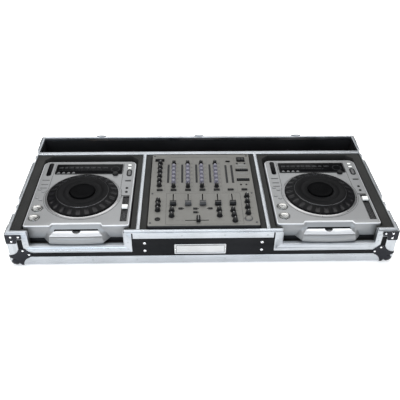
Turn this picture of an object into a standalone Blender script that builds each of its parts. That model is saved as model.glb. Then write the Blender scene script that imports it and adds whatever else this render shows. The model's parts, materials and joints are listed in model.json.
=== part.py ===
"""A low flight case for a disc jockey's set, with two table-top players and a four-channel mixer in their bays.

X runs to the right, Y to the back, Z up. The origin is on the floor, under the middle of the case.
Lengths below are in millimetres and become metres where a mesh is made. Heights are given from the
plane of the case's bottom panel, and at the end everything is raised by RISE on to its ball corners.
"""

import math

import bmesh
import bpy
from mathutils import Matrix, Vector

MM = 0.001

# ---- driving dimensions -------------------------------------------------
CASE_W = 1130.0  # over the aluminium edges, left to right
CASE_D = 540.0  # over the aluminium edges, front to back
GROUND = 1.5  # underside of the edge angles
RISE = 6.5  # the ball corners carry the case this far off the floor
SHEET = 1.5  # wall of the aluminium sections
GAP = 0.3  # between neighbouring pieces
PLY = 8.4  # laminated plywood
EDGE_WIDTH = 12.0  # over a rim section: two sheets, the plywood and its two gaps

RIM_FOOT = 97.4  # lower edge of the rim's outer flange
RIM_LEDGE = 117.5  # outer ledge where the lid would rest
RIM_TOP = 122.5  # top of the tongue
RIM_INNER_FOOT = 109.5
TONGUE_START = 4.0  # from the outer face
ANGLE_LEG = 30.0  # bottom and corner angles

SHELF_Z = 119.5  # top of the foam linings
FLOOR_TOP = 12.3  # top of the base panel
LINING_FLOOR = 15.5

CUTOUT_IN = 229.0  # clear opening in the front wall, from and to, on each side
CUTOUT_OUT = 503.2
CUTOUT_Z = 71.5
TRIM_Z = 47.0

PARTITION_Y = 145.0  # front face of the partition's capping
PARTITION_DEPTH = 17.0
DIVIDER_X = 188.6
STRIP_W = 10.6

LATCH_Y = 139.0  # the side latches stand this far from the middle
LATCH_HALF = 40.0  # half the notch in the rim
LATCH_SILL = 41.6
LATCH_PIN_Z = 76.0
LATCH_LIFT = 8.0

HANDLE_PIVOT = (572.0, 84.0)  # from the middle, and height
HANDLE_HALF = 59.0
HANDLE_DROP = 40.0

BALL_R = 21.0
BALL_INSET = 16.5  # the ball's middle, in from the case's outer faces
BALL_Z = 14.5

DECK_X = 367.0
DECK_FRONT, DECK_BACK = -242.0, 96.5
DECK_HALF_W = 152.5
DECK_TOP = 124.3
DECK_SPLIT = 79.8  # where the shell meets the chassis
DECK_FOOT = 15.8
DECK_MID_Y = (DECK_FRONT + DECK_BACK) / 2
JOG_Y = DECK_MID_Y - 22.0
JOG_R = 107.8
HUB_R = 38.5
TEMPO = {"left": (134.0, -84.0), "right": (134.0, -52.0)}  # cap's centre at rest, from the deck's middle
TEMPO_SLOT = (124.0, 144.0, -150.0, -28.0)
PLAY = (-126.0, -86.0)
CUE = (-126.5, -131.4)
BUTTON_R = 15.5

MIXER_X = 1.75
MIXER_HALF_W = 162.5
MIXER_FRONT, MIXER_BACK = -251.0, 128.0
MIXER_TOP = 130.0
MIXER_FOOT = 44.3
FADER_X = (-88.5, -43.0, 1.2, 47.2, 91.6)
FADER_Y = -152.0
FADER_SLOT = (-160.0, -98.0)
CROSS_X, CROSS_Y = -14.0, -228.0
CROSS_SLOT = (-53.0, 17.0)


# ---- scene and materials ------------------------------------------------
for old in list(bpy.data.objects):
    bpy.data.objects.remove(old, do_unlink=True)

PARTS = bpy.data.collections.new("dj_flight_case")
CUTTERS = bpy.data.collections.new("cutters")
for group in (PARTS, CUTTERS):
    bpy.context.scene.collection.children.link(group)


def material(name, colour, roughness, metallic=0.0):
    made = bpy.data.materials.new(name)
    made.use_nodes = True
    shader = made.node_tree.nodes["Principled BSDF"]
    shader.inputs["Base Color"].default_value = (*colour, 1.0)
    shader.inputs["Roughness"].default_value = roughness
    shader.inputs["Metallic"].default_value = metallic
    made.diffuse_color = (*colour, 1.0)
    return made


LAMINATE = material("black_laminate", (0.012, 0.012, 0.015), 0.4)
ALUMINIUM = material("aluminium", (0.62, 0.64, 0.67), 0.32, 1.0)
CHROME = material("chrome", (0.75, 0.76, 0.78), 0.12, 1.0)
FOAM = material("grey_foam", (0.035, 0.035, 0.033), 0.95)
ZINC = material("zinc_plated_steel", (0.66, 0.68, 0.70), 0.28, 1.0)
GRIP = material("handle_grip", (0.02, 0.02, 0.02), 0.7)
BLACK_METAL = material("black_metal", (0.02, 0.02, 0.022), 0.5, 0.3)
SILVER = material("silver_paint", (0.42, 0.43, 0.42), 0.42, 0.4)
BLACK_PLASTIC = material("black_plastic", (0.015, 0.015, 0.016), 0.45)
BUTTON_METAL = material("button_metal", (0.6, 0.6, 0.58), 0.2, 0.9)
WHITE_PLASTIC = material("white_plastic", (0.75, 0.75, 0.72), 0.4)
PANEL = material("mixer_panel", (0.36, 0.35, 0.32), 0.5, 0.3)


# ---- shaping helpers ----------------------------------------------------
def vec(*values):
    return Vector(values) * MM


def place(name, mesh, origin, look, cutter=False):
    obj = bpy.data.objects.new(name, mesh)
    obj.location = vec(*origin)
    (CUTTERS if cutter else PARTS).objects.link(obj)
    if cutter:
        obj.hide_render = True
        obj.display_type = "WIRE"
    if look is not None:
        mesh.materials.append(look)
    return obj


def finish_mesh(bm, name):
    bmesh.ops.recalc_face_normals(bm, faces=bm.faces)
    mesh = bpy.data.meshes.new(name)
    bm.to_mesh(mesh)
    bm.free()
    return mesh


def add_box(bm, lo, hi, origin):
    made = bmesh.ops.create_cube(bm, size=1.0)["verts"]
    size = [max(h - l, 0.001) for l, h in zip(lo, hi)]
    middle = [(h + l) / 2 - o for l, h, o in zip(lo, hi, origin)]
    bmesh.ops.scale(bm, vec=vec(*size), verts=made)
    bmesh.ops.translate(bm, vec=vec(*middle), verts=made)
    return made


def boxes(name, spans, look=None, origin=None, cutter=False):
    """One mesh of one or more boxes, each given by its lowest and highest corner."""
    lo, hi = spans[0]
    origin = origin or tuple((a + b) / 2 for a, b in zip(lo, hi))
    bm = bmesh.new()
    for lo, hi in spans:
        add_box(bm, lo, hi, origin)
    return place(name, finish_mesh(bm, name), origin, look, cutter)


def box(name, lo, hi, look=None, origin=None, cutter=False):
    return boxes(name, [(lo, hi)], look, origin, cutter)


def rods(name, stubs, look=None, origin=(0, 0, 0), sides=24, cutter=False):
    """Upright round bars in one mesh: each stub is (x, y, radius, low z, high z, top radius)."""
    bm = bmesh.new()
    for x, y, radius, low, high, top in stubs:
        made = bmesh.ops.create_cone(
            bm,
            cap_ends=True,
            segments=sides,
            radius1=radius * MM,
            radius2=top * MM,
            depth=(high - low) * MM,
        )["verts"]
        bmesh.ops.translate(
            bm,
            vec=vec(x - origin[0], y - origin[1], (low + high) / 2 - origin[2]),
            verts=made,
        )
    return place(name, finish_mesh(bm, name), origin, look, cutter)


def lying_rod(name, centre, axis, radius, length, look=None, origin=None, sides=16, cutter=False):
    """A round bar whose axis lies along X or Y."""
    origin = origin or centre
    bm = bmesh.new()
    made = bmesh.ops.create_cone(
        bm, cap_ends=True, segments=sides, radius1=radius * MM, radius2=radius * MM, depth=length * MM
    )["verts"]
    turn = Matrix.Rotation(math.pi / 2, 3, "Y" if axis == "X" else "X")
    bmesh.ops.rotate(bm, cent=(0, 0, 0), matrix=turn, verts=made)
    bmesh.ops.translate(bm, vec=vec(*(c - o for c, o in zip(centre, origin))), verts=made)
    return place(name, finish_mesh(bm, name), origin, look, cutter)


def slab(name, outline, plane, low, high, look=None, origin=None, cutter=False):
    """A flat outline given thickness. plane says which two axes the outline is drawn in."""
    curve = bpy.data.curves.new(name + "_outline", "CURVE")
    curve.dimensions = "2D"
    curve.fill_mode = "BOTH"
    curve.extrude = (high - low) / 2 * MM
    spline = curve.splines.new("POLY")
    spline.points.add(len(outline) - 1)
    for point, (a, b) in zip(spline.points, outline):
        point.co = (a * MM, b * MM, 0, 1)
    spline.use_cyclic_u = True
    guide = bpy.data.objects.new(name + "_guide", curve)
    bpy.context.scene.collection.objects.link(guide)
    bpy.context.view_layer.update()
    graph = bpy.context.evaluated_depsgraph_get()
    mesh = bpy.data.meshes.new_from_object(guide.evaluated_get(graph))
    bpy.data.objects.remove(guide, do_unlink=True)
    middle = (low + high) / 2
    order = {"XY": (0, 1, 2), "XZ": (0, 2, 1), "YZ": (2, 0, 1)}[plane]
    bm = bmesh.new()
    bm.from_mesh(mesh)
    bmesh.ops.remove_doubles(bm, verts=bm.verts, dist=0.00001)
    corners = []
    for vert in bm.verts:
        local = (vert.co.x / MM, vert.co.y / MM, vert.co.z / MM + middle)
        corners.append([local[k] for k in order])
    if origin is None:
        origin = tuple(
            (min(c[k] for c in corners) + max(c[k] for c in corners)) / 2 for k in range(3)
        )
    for vert, corner in zip(bm.verts, corners):
        vert.co = vec(*(c - o for c, o in zip(corner, origin)))
    mesh.materials.clear()
    bmesh.ops.recalc_face_normals(bm, faces=bm.faces)
    bm.to_mesh(mesh)
    bm.free()
    mesh.name = name
    return place(name, mesh, origin, look, cutter)


def rounded(points, radii, steps=4):
    """The outline with each corner rounded by its radius."""
    made = []
    count = len(points)
    for k, (point, radius) in enumerate(zip(points, radii)):
        here = Vector(point)
        if radius <= 0:
            made.append(tuple(here))
            continue
        to_last = (Vector(points[k - 1]) - here).normalized()
        to_next = (Vector(points[(k + 1) % count]) - here).normalized()
        half = to_last.angle(to_next) / 2
        reach = radius / math.tan(half)
        start, end = here + to_last * reach, here + to_next * reach
        centre = here + (to_last + to_next).normalized() * (radius / math.sin(half))
        a, b = start - centre, end - centre
        sweep = a.angle(b)
        for s in range(steps + 1):
            t = s / steps
            mixed = (a * math.sin((1 - t) * sweep) + b * math.sin(t * sweep)) / math.sin(sweep)
            made.append(tuple(centre + mixed))
    return made


def section_run(name, section, path, look, before=None, after=None):
    """An extruded aluminium section pushed along a flat path and mitred where it turns.

    section holds (distance to the left of the path, height). before and after are the
    directions of the neighbouring lengths, for a mitre at an open end.
    """
    path = [Vector(p) for p in path]
    headings = [(b - a).normalized() for a, b in zip(path, path[1:])]
    headings = [Vector(before) if before else headings[0]] + headings
    headings.append(Vector(after) if after else headings[-1])
    origin = (*(path[0] + path[-1]) / 2, section[0][1])

    def station(k):
        left_in = Vector((-headings[k].y, headings[k].x))
        left_out = Vector((-headings[k + 1].y, headings[k + 1].x))
        mitre = (left_in + left_out) / (1 + left_in.dot(left_out))
        return [
            vec(
                path[k].x + mitre.x * across - origin[0],
                path[k].y + mitre.y * across - origin[1],
                height - origin[2],
            )
            for across, height in section
        ]

    bm = bmesh.new()
    corner = bm.verts.layers.int.new("corner")
    verts = [bm.verts.new(co) for co in station(0)]
    for k, vert in enumerate(verts):
        vert[corner] = k
    face = bm.faces.new(verts)
    for k in range(1, len(path)):
        pushed = bmesh.ops.extrude_face_region(bm, geom=[face])["geom"]
        spots = station(k)
        for item in pushed:
            if isinstance(item, bmesh.types.BMVert):
                item.co = spots[item[corner]]
        if k > 1:  # the face between two lengths isn't part of the surface
            bmesh.ops.delete(bm, geom=[face], context="FACES_ONLY")
        face = next(item for item in pushed if isinstance(item, bmesh.types.BMFace))
    return place(name, finish_mesh(bm, name), origin, look)


def turned(name, profile, centre, look, sides=40, origin=None, cutter=False):
    """A profile of (radius, height) spun about the upright axis through centre."""
    origin = origin or (centre[0], centre[1], profile[0][1])
    bm = bmesh.new()
    ring = [bm.verts.new(vec(radius, 0, height - origin[2])) for radius, height in profile]
    for a, b in zip(ring, ring[1:] + ring[:1]):
        bm.edges.new((a, b))
    mesh = bpy.data.meshes.new(name)
    bm.to_mesh(mesh)
    bm.free()
    obj = place(name, mesh, origin, look, cutter)
    spin = obj.modifiers.new("spin", "SCREW")
    spin.axis = "Z"
    spin.steps = sides
    spin.render_steps = sides
    spin.use_merge_vertices = True
    spin.merge_threshold = 0.00001
    return obj


def boolean(obj, other, operation, name):
    cut = obj.modifiers.new(name, "BOOLEAN")
    cut.operation = operation
    cut.solver = "EXACT"
    cut.object = other


def cut(obj, *others):
    for other in others:
        boolean(obj, other, "DIFFERENCE", "cut_" + other.name)
    return obj


def join(obj, *others):
    for other in others:
        boolean(obj, other, "UNION", "join_" + other.name)
    return obj


def smooth(obj, degrees=35):
    obj.data.shade_smooth()
    if not obj.modifiers:
        obj.data.set_sharp_from_angle(angle=math.radians(degrees))


SIDES = (("left", -1), ("right", 1))
CORNERS = (("front_left", -1, -1), ("front_right", 1, -1), ("rear_left", -1, 1), ("rear_right", 1, 1))
HALF_W, HALF_D = CASE_W / 2, CASE_D / 2
PLY_OUT = SHEET + GAP  # the plywood's outer face, in from the aluminium's
PLY_IN = PLY_OUT + PLY
FAR = 40.0  # how far a cutter runs past what it cuts


def span(sx, a, b):
    """The interval from a to b on the side sx, low end first."""
    return (min(sx * a, sx * b), max(sx * a, sx * b))


# ---- cutters shared by the panels ---------------------------------------
corner_room = []
for label, sx, sy in CORNERS:
    x0, x1 = span(sx, HALF_W - BALL_INSET - GAP, HALF_W + FAR)
    y0, y1 = span(sy, HALF_D - BALL_INSET - GAP, HALF_D + FAR)
    corner_room.append(
        box("room_" + label, (x0, y0, -FAR), (x1, y1, BALL_Z + GAP), cutter=True)
    )

# ---- plywood case -------------------------------------------------------
wall_foot = GROUND + SHEET + GAP
wall_top = RIM_LEDGE - SHEET - GAP

base = box(
    "base_panel",
    (-(HALF_W - PLY_IN - GAP), -(HALF_D - PLY_IN - GAP), wall_foot),
    (HALF_W - PLY_IN - GAP, HALF_D - PLY_IN - GAP, FLOOR_TOP),
    LAMINATE,
)
cut(base, *corner_room)

cutout_openings = []
for label, sx in SIDES:
    x0, x1 = span(sx, CUTOUT_IN - SHEET, CUTOUT_OUT + SHEET)
    cutout_openings.append(
        box("front_cutout_" + label, (x0, -HALF_D - FAR, CUTOUT_Z - SHEET), (x1, -HALF_D + FAR, RIM_TOP + FAR), cutter=True)
    )

front = box(
    "front_wall",
    (-(HALF_W - PLY_IN - GAP), -(HALF_D - PLY_OUT), wall_foot),
    (HALF_W - PLY_IN - GAP, -(HALF_D - PLY_IN), wall_top),
    LAMINATE,
)
# A blank badge is riveted on the front, a little left of the middle.
badge = box("badge", (-85.0, -(HALF_D - 0.4), 37.0), (67.0, -(HALF_D - PLY_OUT - 1.0), 74.0), cutter=True)
join(front, badge)
cut(front, *corner_room[:2], *cutout_openings)

rear = box(
    "rear_wall",
    (-(HALF_W - PLY_IN - GAP), HALF_D - PLY_IN, wall_foot),
    (HALF_W - PLY_IN - GAP, HALF_D - PLY_OUT, wall_top),
    LAMINATE,
)
cut(rear, *corner_room[2:])

for label, sx in SIDES:
    x0, x1 = span(sx, HALF_W - PLY_IN, HALF_W - PLY_OUT)
    wall = box(label + "_wall", (x0, -(HALF_D - PLY_OUT), wall_foot), (x1, HALF_D - PLY_OUT, wall_top), LAMINATE)
    notches = []
    for end, sy in (("front", -1), ("rear", 1)):
        y = sy * LATCH_Y
        notches.append(
            box(
                f"wall_notch_{end}_{label}",
                (x0 - 5, y - LATCH_HALF, LATCH_SILL),
                (x1 + 5, y + LATCH_HALF, RIM_TOP + FAR),
                cutter=True,
            )
        )
    rooms = [room for room, (_, side, _) in zip(corner_room, CORNERS) if side == sx]
    cut(wall, *rooms, *notches)

# ---- cable partition and the two boards beside the mixer ----------------
board_top = RIM_TOP - SHEET - GAP
board_foot = FLOOR_TOP + GAP
frame = box(
    "bay_frame",
    (-(HALF_W - EDGE_WIDTH - GAP), PARTITION_Y + SHEET + GAP, board_foot),
    (HALF_W - EDGE_WIDTH - GAP, PARTITION_Y + PARTITION_DEPTH - SHEET - GAP, board_top),
    LAMINATE,
)
for label, sx in SIDES:
    x0, x1 = span(sx, DIVIDER_X - 3.8, DIVIDER_X + 3.8)
    # Each board runs under the capping's front flange into the partition.
    join(
        frame,
        box("divider_" + label, (x0, -(HALF_D - EDGE_WIDTH - GAP), board_foot), (x1, PARTITION_Y - GAP, board_top), cutter=True),
        box("divider_tenon_" + label, (x0, PARTITION_Y - 20, board_foot), (x1, PARTITION_Y + 5, RIM_TOP - 10 - GAP), cutter=True),
    )
cable_ways = boxes(
    "cable_ways",
    [
        ((-DECK_X - 62, 120, 32), (-DECK_X + 62, 175, 86)),
        ((DECK_X - 62, 120, 32), (DECK_X + 62, 175, 86)),
        ((MIXER_X - 82, 115, 60), (MIXER_X + 82, 175, 102)),
    ],
    cutter=True,
)
cut(frame, cable_ways)

# ---- foam linings -------------------------------------------------------
lining_front = -(HALF_D - EDGE_WIDTH - GAP)
lining_back = PARTITION_Y - GAP
HOLE_BACK = 137.0
HOLE_FRONT = -247.0
for label, sx in SIDES:
    x0, x1 = span(sx, DIVIDER_X + STRIP_W / 2 + GAP, HALF_W - EDGE_WIDTH - GAP)
    lining = box("deck_bay_lining_" + label, (x0, lining_front, board_foot), (x1, lining_back, SHELF_Z), FOAM)
    middle = sx * DECK_X
    wide = DECK_HALF_W + 4.8
    well = slab(
        "deck_well_" + label,
        [
            (middle - wide, HOLE_FRONT),
            (middle + wide, HOLE_FRONT),
            (middle + wide, HOLE_BACK - 22),
            (middle + wide - 22, HOLE_BACK),
            (middle - wide + 22, HOLE_BACK),
            (middle - wide, HOLE_BACK - 22),
        ],
        "XY",
        LINING_FLOOR,
        SHELF_Z + FAR,
        cutter=True,
    )
    c0, c1 = span(sx, CUTOUT_IN, CUTOUT_OUT)
    mouth = box("lining_mouth_" + label, (c0, lining_front - FAR, CUTOUT_Z - 2.5), (c1, HOLE_FRONT + 5, SHELF_Z + FAR), cutter=True)
    rooms = [room for room, (_, side, _) in zip(corner_room, CORNERS) if side == sx]
    cut(lining, well, mouth, cable_ways, *rooms)

lining = box(
    "mixer_bay_lining",
    (-(DIVIDER_X - STRIP_W / 2 - GAP), lining_front, board_foot),
    (DIVIDER_X - STRIP_W / 2 - GAP, lining_back, SHELF_Z),
    FOAM,
)
mixer_well = box(
    "mixer_well",
    (MIXER_X - MIXER_HALF_W - 3, MIXER_FRONT - 3.5, MIXER_FOOT - GAP),
    (MIXER_X + MIXER_HALF_W + 3, MIXER_BACK + 3.5, SHELF_Z + FAR),
    cutter=True,
)
cut(lining, mixer_well, cable_ways)

# ---- aluminium rims -----------------------------------------------------
RIM = [
    (0.0, RIM_FOOT),
    (SHEET, RIM_FOOT),
    (SHEET, RIM_LEDGE - SHEET),
    (EDGE_WIDTH - SHEET, RIM_LEDGE - SHEET),
    (EDGE_WIDTH - SHEET, RIM_INNER_FOOT),
    (EDGE_WIDTH, RIM_INNER_FOOT),
    (EDGE_WIDTH, RIM_TOP),
    (TONGUE_START, RIM_TOP),
    (TONGUE_START, RIM_LEDGE),
    (0.0, RIM_LEDGE),
]
short_end = CUTOUT_OUT + SHEET + GAP
left_rim = section_run(
    "left_rim", RIM, [(-HALF_W, HALF_D), (-HALF_W, -HALF_D), (-short_end, -HALF_D)], ALUMINIUM, before=(-1, 0)
)
right_rim = section_run(
    "right_rim", RIM, [(short_end, -HALF_D), (HALF_W, -HALF_D), (HALF_W, HALF_D)], ALUMINIUM, after=(-1, 0)
)
for label, sx, rim in (("left", -1, left_rim), ("right", 1, right_rim)):
    x0, x1 = span(sx, HALF_W - 9.5, HALF_W + 20)
    for end, sy in (("front", -1), ("rear", 1)):
        y = sy * LATCH_Y
        cut(
            rim,
            box(
                f"rim_notch_{end}_{label}",
                (x0, y - LATCH_HALF, RIM_FOOT - 10),
                (x1, y + LATCH_HALF, RIM_TOP + 10),
                cutter=True,
            ),
        )
front_end = CUTOUT_IN - SHEET - GAP
section_run("front_rim", RIM, [(-front_end, -HALF_D), (front_end, -HALF_D)], ALUMINIUM)
rear_rim = section_run(
    "rear_rim", RIM, [(HALF_W - 0.45, HALF_D), (-HALF_W + 0.45, HALF_D)], ALUMINIUM, before=(0, 1), after=(0, -1)
)
# Three catches for the lid stand on the rear rim, each a riveted plate with a hooked lip.
catch_spans = []
for x in (-352.5, 0.0, 352.5):
    catch_spans.append(((x - 24, HALF_D - 0.6, 70.0), (x + 24, HALF_D + 1.2, RIM_TOP + 1.5)))
    catch_spans.append(((x - 8.5, HALF_D - 9.0, RIM_TOP - 1.0), (x + 8.5, HALF_D + 0.8, RIM_TOP + 3.4)))
for k, (lo, hi) in enumerate(catch_spans):
    join(rear_rim, box(f"catch_{k}", lo, hi, cutter=True))

# ---- trims round the two front cut-outs ---------------------------------
trim_low, trim_high = TRIM_Z, RIM_FOOT - GAP
for label, sx in SIDES:
    inner, outer = CUTOUT_IN, CUTOUT_OUT
    outline = [
        (inner - 22, trim_low),
        (outer + 17, trim_low),
        (outer + 17, trim_high),
        (outer, trim_high),
        (outer, CUTOUT_Z),
        (inner, CUTOUT_Z),
        (inner, trim_high),
        (inner - 22, trim_high),
    ]
    outline = [(sx * x, z) for x, z in outline]
    if sx < 0:
        outline.reverse()
    trim = slab("cutout_trim_" + label, outline, "XZ", -HALF_D, -HALF_D + SHEET, ALUMINIUM)
    back = -HALF_D + EDGE_WIDTH
    high = RIM_TOP - 1.0
    for part, (a, b), low, top in (
        ("inner", span(sx, inner - 1.2, inner), CUTOUT_Z - 1.2, high),
        ("outer", span(sx, outer, outer + 1.2), CUTOUT_Z - 1.2, high),
        ("sill", span(sx, inner - 1.0, outer + 1.0), CUTOUT_Z - 1.2, CUTOUT_Z),
    ):
        join(trim, box(f"return_{part}_{label}", (a, -HALF_D + 0.02, low), (b, back, top), cutter=True))

# ---- bottom and corner angles, joined under the ball corners ------------
edge = box("edge_frame", (-HALF_W, -HALF_D, GROUND), (HALF_W, HALF_D, RIM_FOOT - GAP), ALUMINIUM)
cut(
    edge,
    box(
        "edge_inside",
        (-HALF_W + SHEET, -HALF_D + SHEET, GROUND + SHEET),
        (HALF_W - SHEET, HALF_D - SHEET, RIM_FOOT + FAR),
        cutter=True,
    ),
    box(
        "edge_floor",
        (-HALF_W + ANGLE_LEG, -HALF_D + ANGLE_LEG, GROUND - FAR),
        (HALF_W - ANGLE_LEG, HALF_D - ANGLE_LEG, RIM_FOOT),
        cutter=True,
    ),
    box(
        "edge_long_window",
        (-HALF_W + ANGLE_LEG, -HALF_D - FAR, GROUND + ANGLE_LEG),
        (HALF_W - ANGLE_LEG, HALF_D + FAR, RIM_FOOT + FAR),
        cutter=True,
    ),
    box(
        "edge_short_window",
        (-HALF_W - FAR, -HALF_D + ANGLE_LEG, GROUND + ANGLE_LEG),
        (HALF_W + FAR, HALF_D - ANGLE_LEG, RIM_FOOT + FAR),
        cutter=True,
    ),
    *corner_room,
)

# ---- corner braces and ball corners -------------------------------------
SKIN = 1.2
LIFT = SKIN + GAP  # how far the corner plates stand off the edges


def mirrored(outline, sx):
    flipped = [(sx * a, b) for a, b in outline]
    return flipped if sx > 0 else flipped[::-1]


for label, sx, sy in CORNERS:
    # Brace: an L on the front or rear face and the same L on the side face.
    arm = [
        (HALF_W + LIFT, 84.0),
        (HALF_W + LIFT, 117.0),
        (HALF_W - 45, 117.0),
        (HALF_W - 45, 99.5),
        (HALF_W - 30, 99.5),
        (HALF_W - 30, 84.0),
    ]
    y0, y1 = span(sy, HALF_D + GAP, HALF_D + LIFT)
    brace = slab("corner_brace_" + label, mirrored(arm, sx), "XZ", y0, y1, CHROME)
    shift = HALF_D - HALF_W
    side_arm = [(a + shift, b) for a, b in arm]
    x0, x1 = span(sx, HALF_W + GAP, HALF_W + LIFT)
    join(brace, slab("brace_side_" + label, mirrored(side_arm, sy), "YZ", x0, x1, cutter=True))

    # Ball corner: three lobed plates and the ball that replaces the case's corner.
    lobe = rounded(
        [
            (HALF_W + LIFT, 0.35),
            (HALF_W + LIFT, 62.0),
            (HALF_W - 50, 62.0),
            (HALF_W - 66, 46.0),
            (HALF_W - 66, 31.0),
            (HALF_W - 43, 0.35),
        ],
        [0, 8, 8, 8, 8, 0],
        steps=2,
    )
    side_lobe = [(a + shift, b) for a, b in lobe]
    floor_lobe = rounded(
        [
            (HALF_W + LIFT, HALF_D + LIFT),
            (HALF_W - 43, HALF_D + LIFT),
            (HALF_W - 66, HALF_D - 30),
            (HALF_W - 66, HALF_D - 45),
            (HALF_W - 45, HALF_D - 66),
            (HALF_W - 30, HALF_D - 66),
            (HALF_W + LIFT, HALF_D - 43),
        ],
        [0, 0, 8, 8, 8, 8, 0],
        steps=2,
    )
    corner = slab("ball_corner_" + label, mirrored(lobe, sx), "XZ", y0, y1, CHROME)
    join(corner, slab("ball_side_" + label, mirrored(side_lobe, sy), "YZ", x0, x1, cutter=True))
    floor_outline = [(sx * a, sy * b) for a, b in floor_lobe]
    if sx * sy < 0:
        floor_outline.reverse()
    join(corner, slab("ball_floor_" + label, floor_outline, "XY", 0.35, GROUND - GAP, cutter=True))
    bx0, bx1 = span(sx, HALF_W - BALL_INSET + 3, HALF_W + FAR)
    by0, by1 = span(sy, HALF_D - BALL_INSET + 3, HALF_D + FAR)
    cut(corner, box("ball_room_" + label, (bx0, by0, -FAR), (bx1, by1, BALL_Z - 3), cutter=True))
    bm = bmesh.new()
    bmesh.ops.create_uvsphere(bm, u_segments=20, v_segments=11, radius=BALL_R * MM)
    bmesh.ops.rotate(bm, verts=bm.verts, cent=(0, 0, 0), matrix=Matrix.Rotation(math.pi / 20, 3, "Z"))
    ball = place(
        "ball_" + label,
        finish_mesh(bm, "ball_" + label),
        (sx * (HALF_W - BALL_INSET), sy * (HALF_D - BALL_INSET), BALL_Z),
        None,
        cutter=True,
    )
    join(corner, ball)
    # What lies inside the case is cleared again, up to the room left for the ball.
    ix0, ix1 = span(sx, HALF_W - 120, HALF_W + GAP)
    iy0, iy1 = span(sy, HALF_D - 120, HALF_D + GAP)
    ox0, ox1 = span(sx, HALF_W - 120, HALF_W - BALL_INSET + 0.25)
    oy0, oy1 = span(sy, HALF_D - 120, HALF_D - BALL_INSET + 0.25)
    low = GROUND - GAP
    cut(
        corner,
        box("clear_above_" + label, (ix0, iy0, BALL_Z - 0.25), (ix1, iy1, 120.0), cutter=True),
        box("clear_long_" + label, (ox0, iy0, low), (ox1, iy1, 120.0), cutter=True),
        box("clear_short_" + label, (ix0, oy0, low), (ix1, oy1, 120.0), cutter=True),
    )

# ---- capping of the partition and the boards ----------------------------
CAP = [
    (0.0, RIM_TOP - 10),
    (SHEET, RIM_TOP - 10),
    (SHEET, RIM_TOP - SHEET),
    (PARTITION_DEPTH - SHEET, RIM_TOP - SHEET),
    (PARTITION_DEPTH - SHEET, RIM_TOP - 10),
    (PARTITION_DEPTH, RIM_TOP - 10),
    (PARTITION_DEPTH, RIM_TOP),
    (0.0, RIM_TOP),
]
reach = HALF_W - EDGE_WIDTH - GAP
trim = section_run("bay_trim", CAP, [(-reach, PARTITION_Y), (reach, PARTITION_Y)], ALUMINIUM)
STRIP = [
    (0.0, RIM_TOP - 5.5),
    (1.2, RIM_TOP - 5.5),
    (1.2, RIM_TOP - SHEET),
    (STRIP_W - 1.2, RIM_TOP - SHEET),
    (STRIP_W - 1.2, RIM_TOP - 5.5),
    (STRIP_W, RIM_TOP - 5.5),
    (STRIP_W, RIM_TOP),
    (0.0, RIM_TOP),
]
for label, sx in SIDES:
    x = sx * DIVIDER_X + STRIP_W / 2
    strip = section_run("strip_" + label, STRIP, [(x, lining_front), (x, PARTITION_Y + 1.0)], None)
    PARTS.objects.unlink(strip)
    CUTTERS.objects.link(strip)
    strip.hide_render = True
    strip.display_type = "WIRE"
    join(trim, strip)

# ---- recessed twist latches on the sides --------------------------------
DISH_BACK = 8.0  # inner face of the dish's back plate, in from the edge's outer face
for label, sx, sy in CORNERS:
    y = sy * LATCH_Y
    face = HALF_W - 0.3
    d0, d1 = span(sx, HALF_W - DISH_BACK - 1.2, face)
    dish = box(
        "latch_dish_" + label,
        (d0, y - LATCH_HALF + 0.4, LATCH_SILL + 0.4),
        (d1, y + LATCH_HALF - 0.4, RIM_TOP - 3.5),
        ZINC,
    )
    f0, f1 = span(sx, face - 1.2, face)
    join(dish, box("dish_flange_" + label, (f0, y - 50, 32.2), (f1, y + 50, RIM_FOOT - GAP), cutter=True))
    h0, h1 = span(sx, HALF_W - DISH_BACK, HALF_W + FAR)
    cut(
        dish,
        box(
            "dish_hollow_" + label,
            (h0, y - LATCH_HALF + 1.6, LATCH_SILL + 1.6),
            (h1, y + LATCH_HALF - 1.6, RIM_TOP + FAR),
            cutter=True,
        ),
    )
    join(
        dish,
        lying_rod(
            "dish_pin_" + label,
            (sx * (HALF_W - DISH_BACK + 0.8), y, LATCH_PIN_Z),
            "X",
            4.0,
            3.6,
            sides=16,
            cutter=True,
        ),
    )
    # Claw: a slotted plate with a hook, lifted by the wing.
    c0, c1 = span(sx, HALF_W - 7.5, HALF_W - 5.7)
    claw = box(
        "latch_claw_" + label,
        (c0, y - 11.5, 58.0),
        (c1, y + 11.5, 118.0),
        ZINC,
    )
    k0, k1 = span(sx, HALF_W - 7.5, HALF_W - 2.5)
    join(claw, box("claw_hook_" + label, (k0, y - 11.5, 114.0), (k1, y + 11.5, 118.0), cutter=True))
    cut(
        claw,
        box(
            "claw_slot_" + label,
            (min(c0, k0) - 5, y - 4.5, LATCH_PIN_Z - LATCH_LIFT - 4.5),
            (max(c1, k1) + 5, y + 4.5, LATCH_PIN_Z + 4.5),
            cutter=True,
        ),
    )
    # Wing: turned half a turn to throw the claw.
    w0, w1 = span(sx, HALF_W - 5.2, HALF_W - 2.2)
    half = [(0, 7), (10, 8), (22, 12), (30, 12), (30, -12), (22, -12), (10, -8), (0, -7)]
    wing_outline = [(y + a, LATCH_PIN_Z + b) for a, b in half[:4]]
    wing_outline += [(y + a, LATCH_PIN_Z + b) for a, b in half[4:]]
    wing_outline += [(y - a, LATCH_PIN_Z - b) for a, b in half[1:4]]
    wing_outline += [(y - a, LATCH_PIN_Z - b) for a, b in half[4:7]]
    slab(
        "latch_wing_" + label,
        wing_outline,
        "YZ",
        w0,
        w1,
        ZINC,
        origin=(sx * (HALF_W - 3.7), y, LATCH_PIN_Z),
    )

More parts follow.
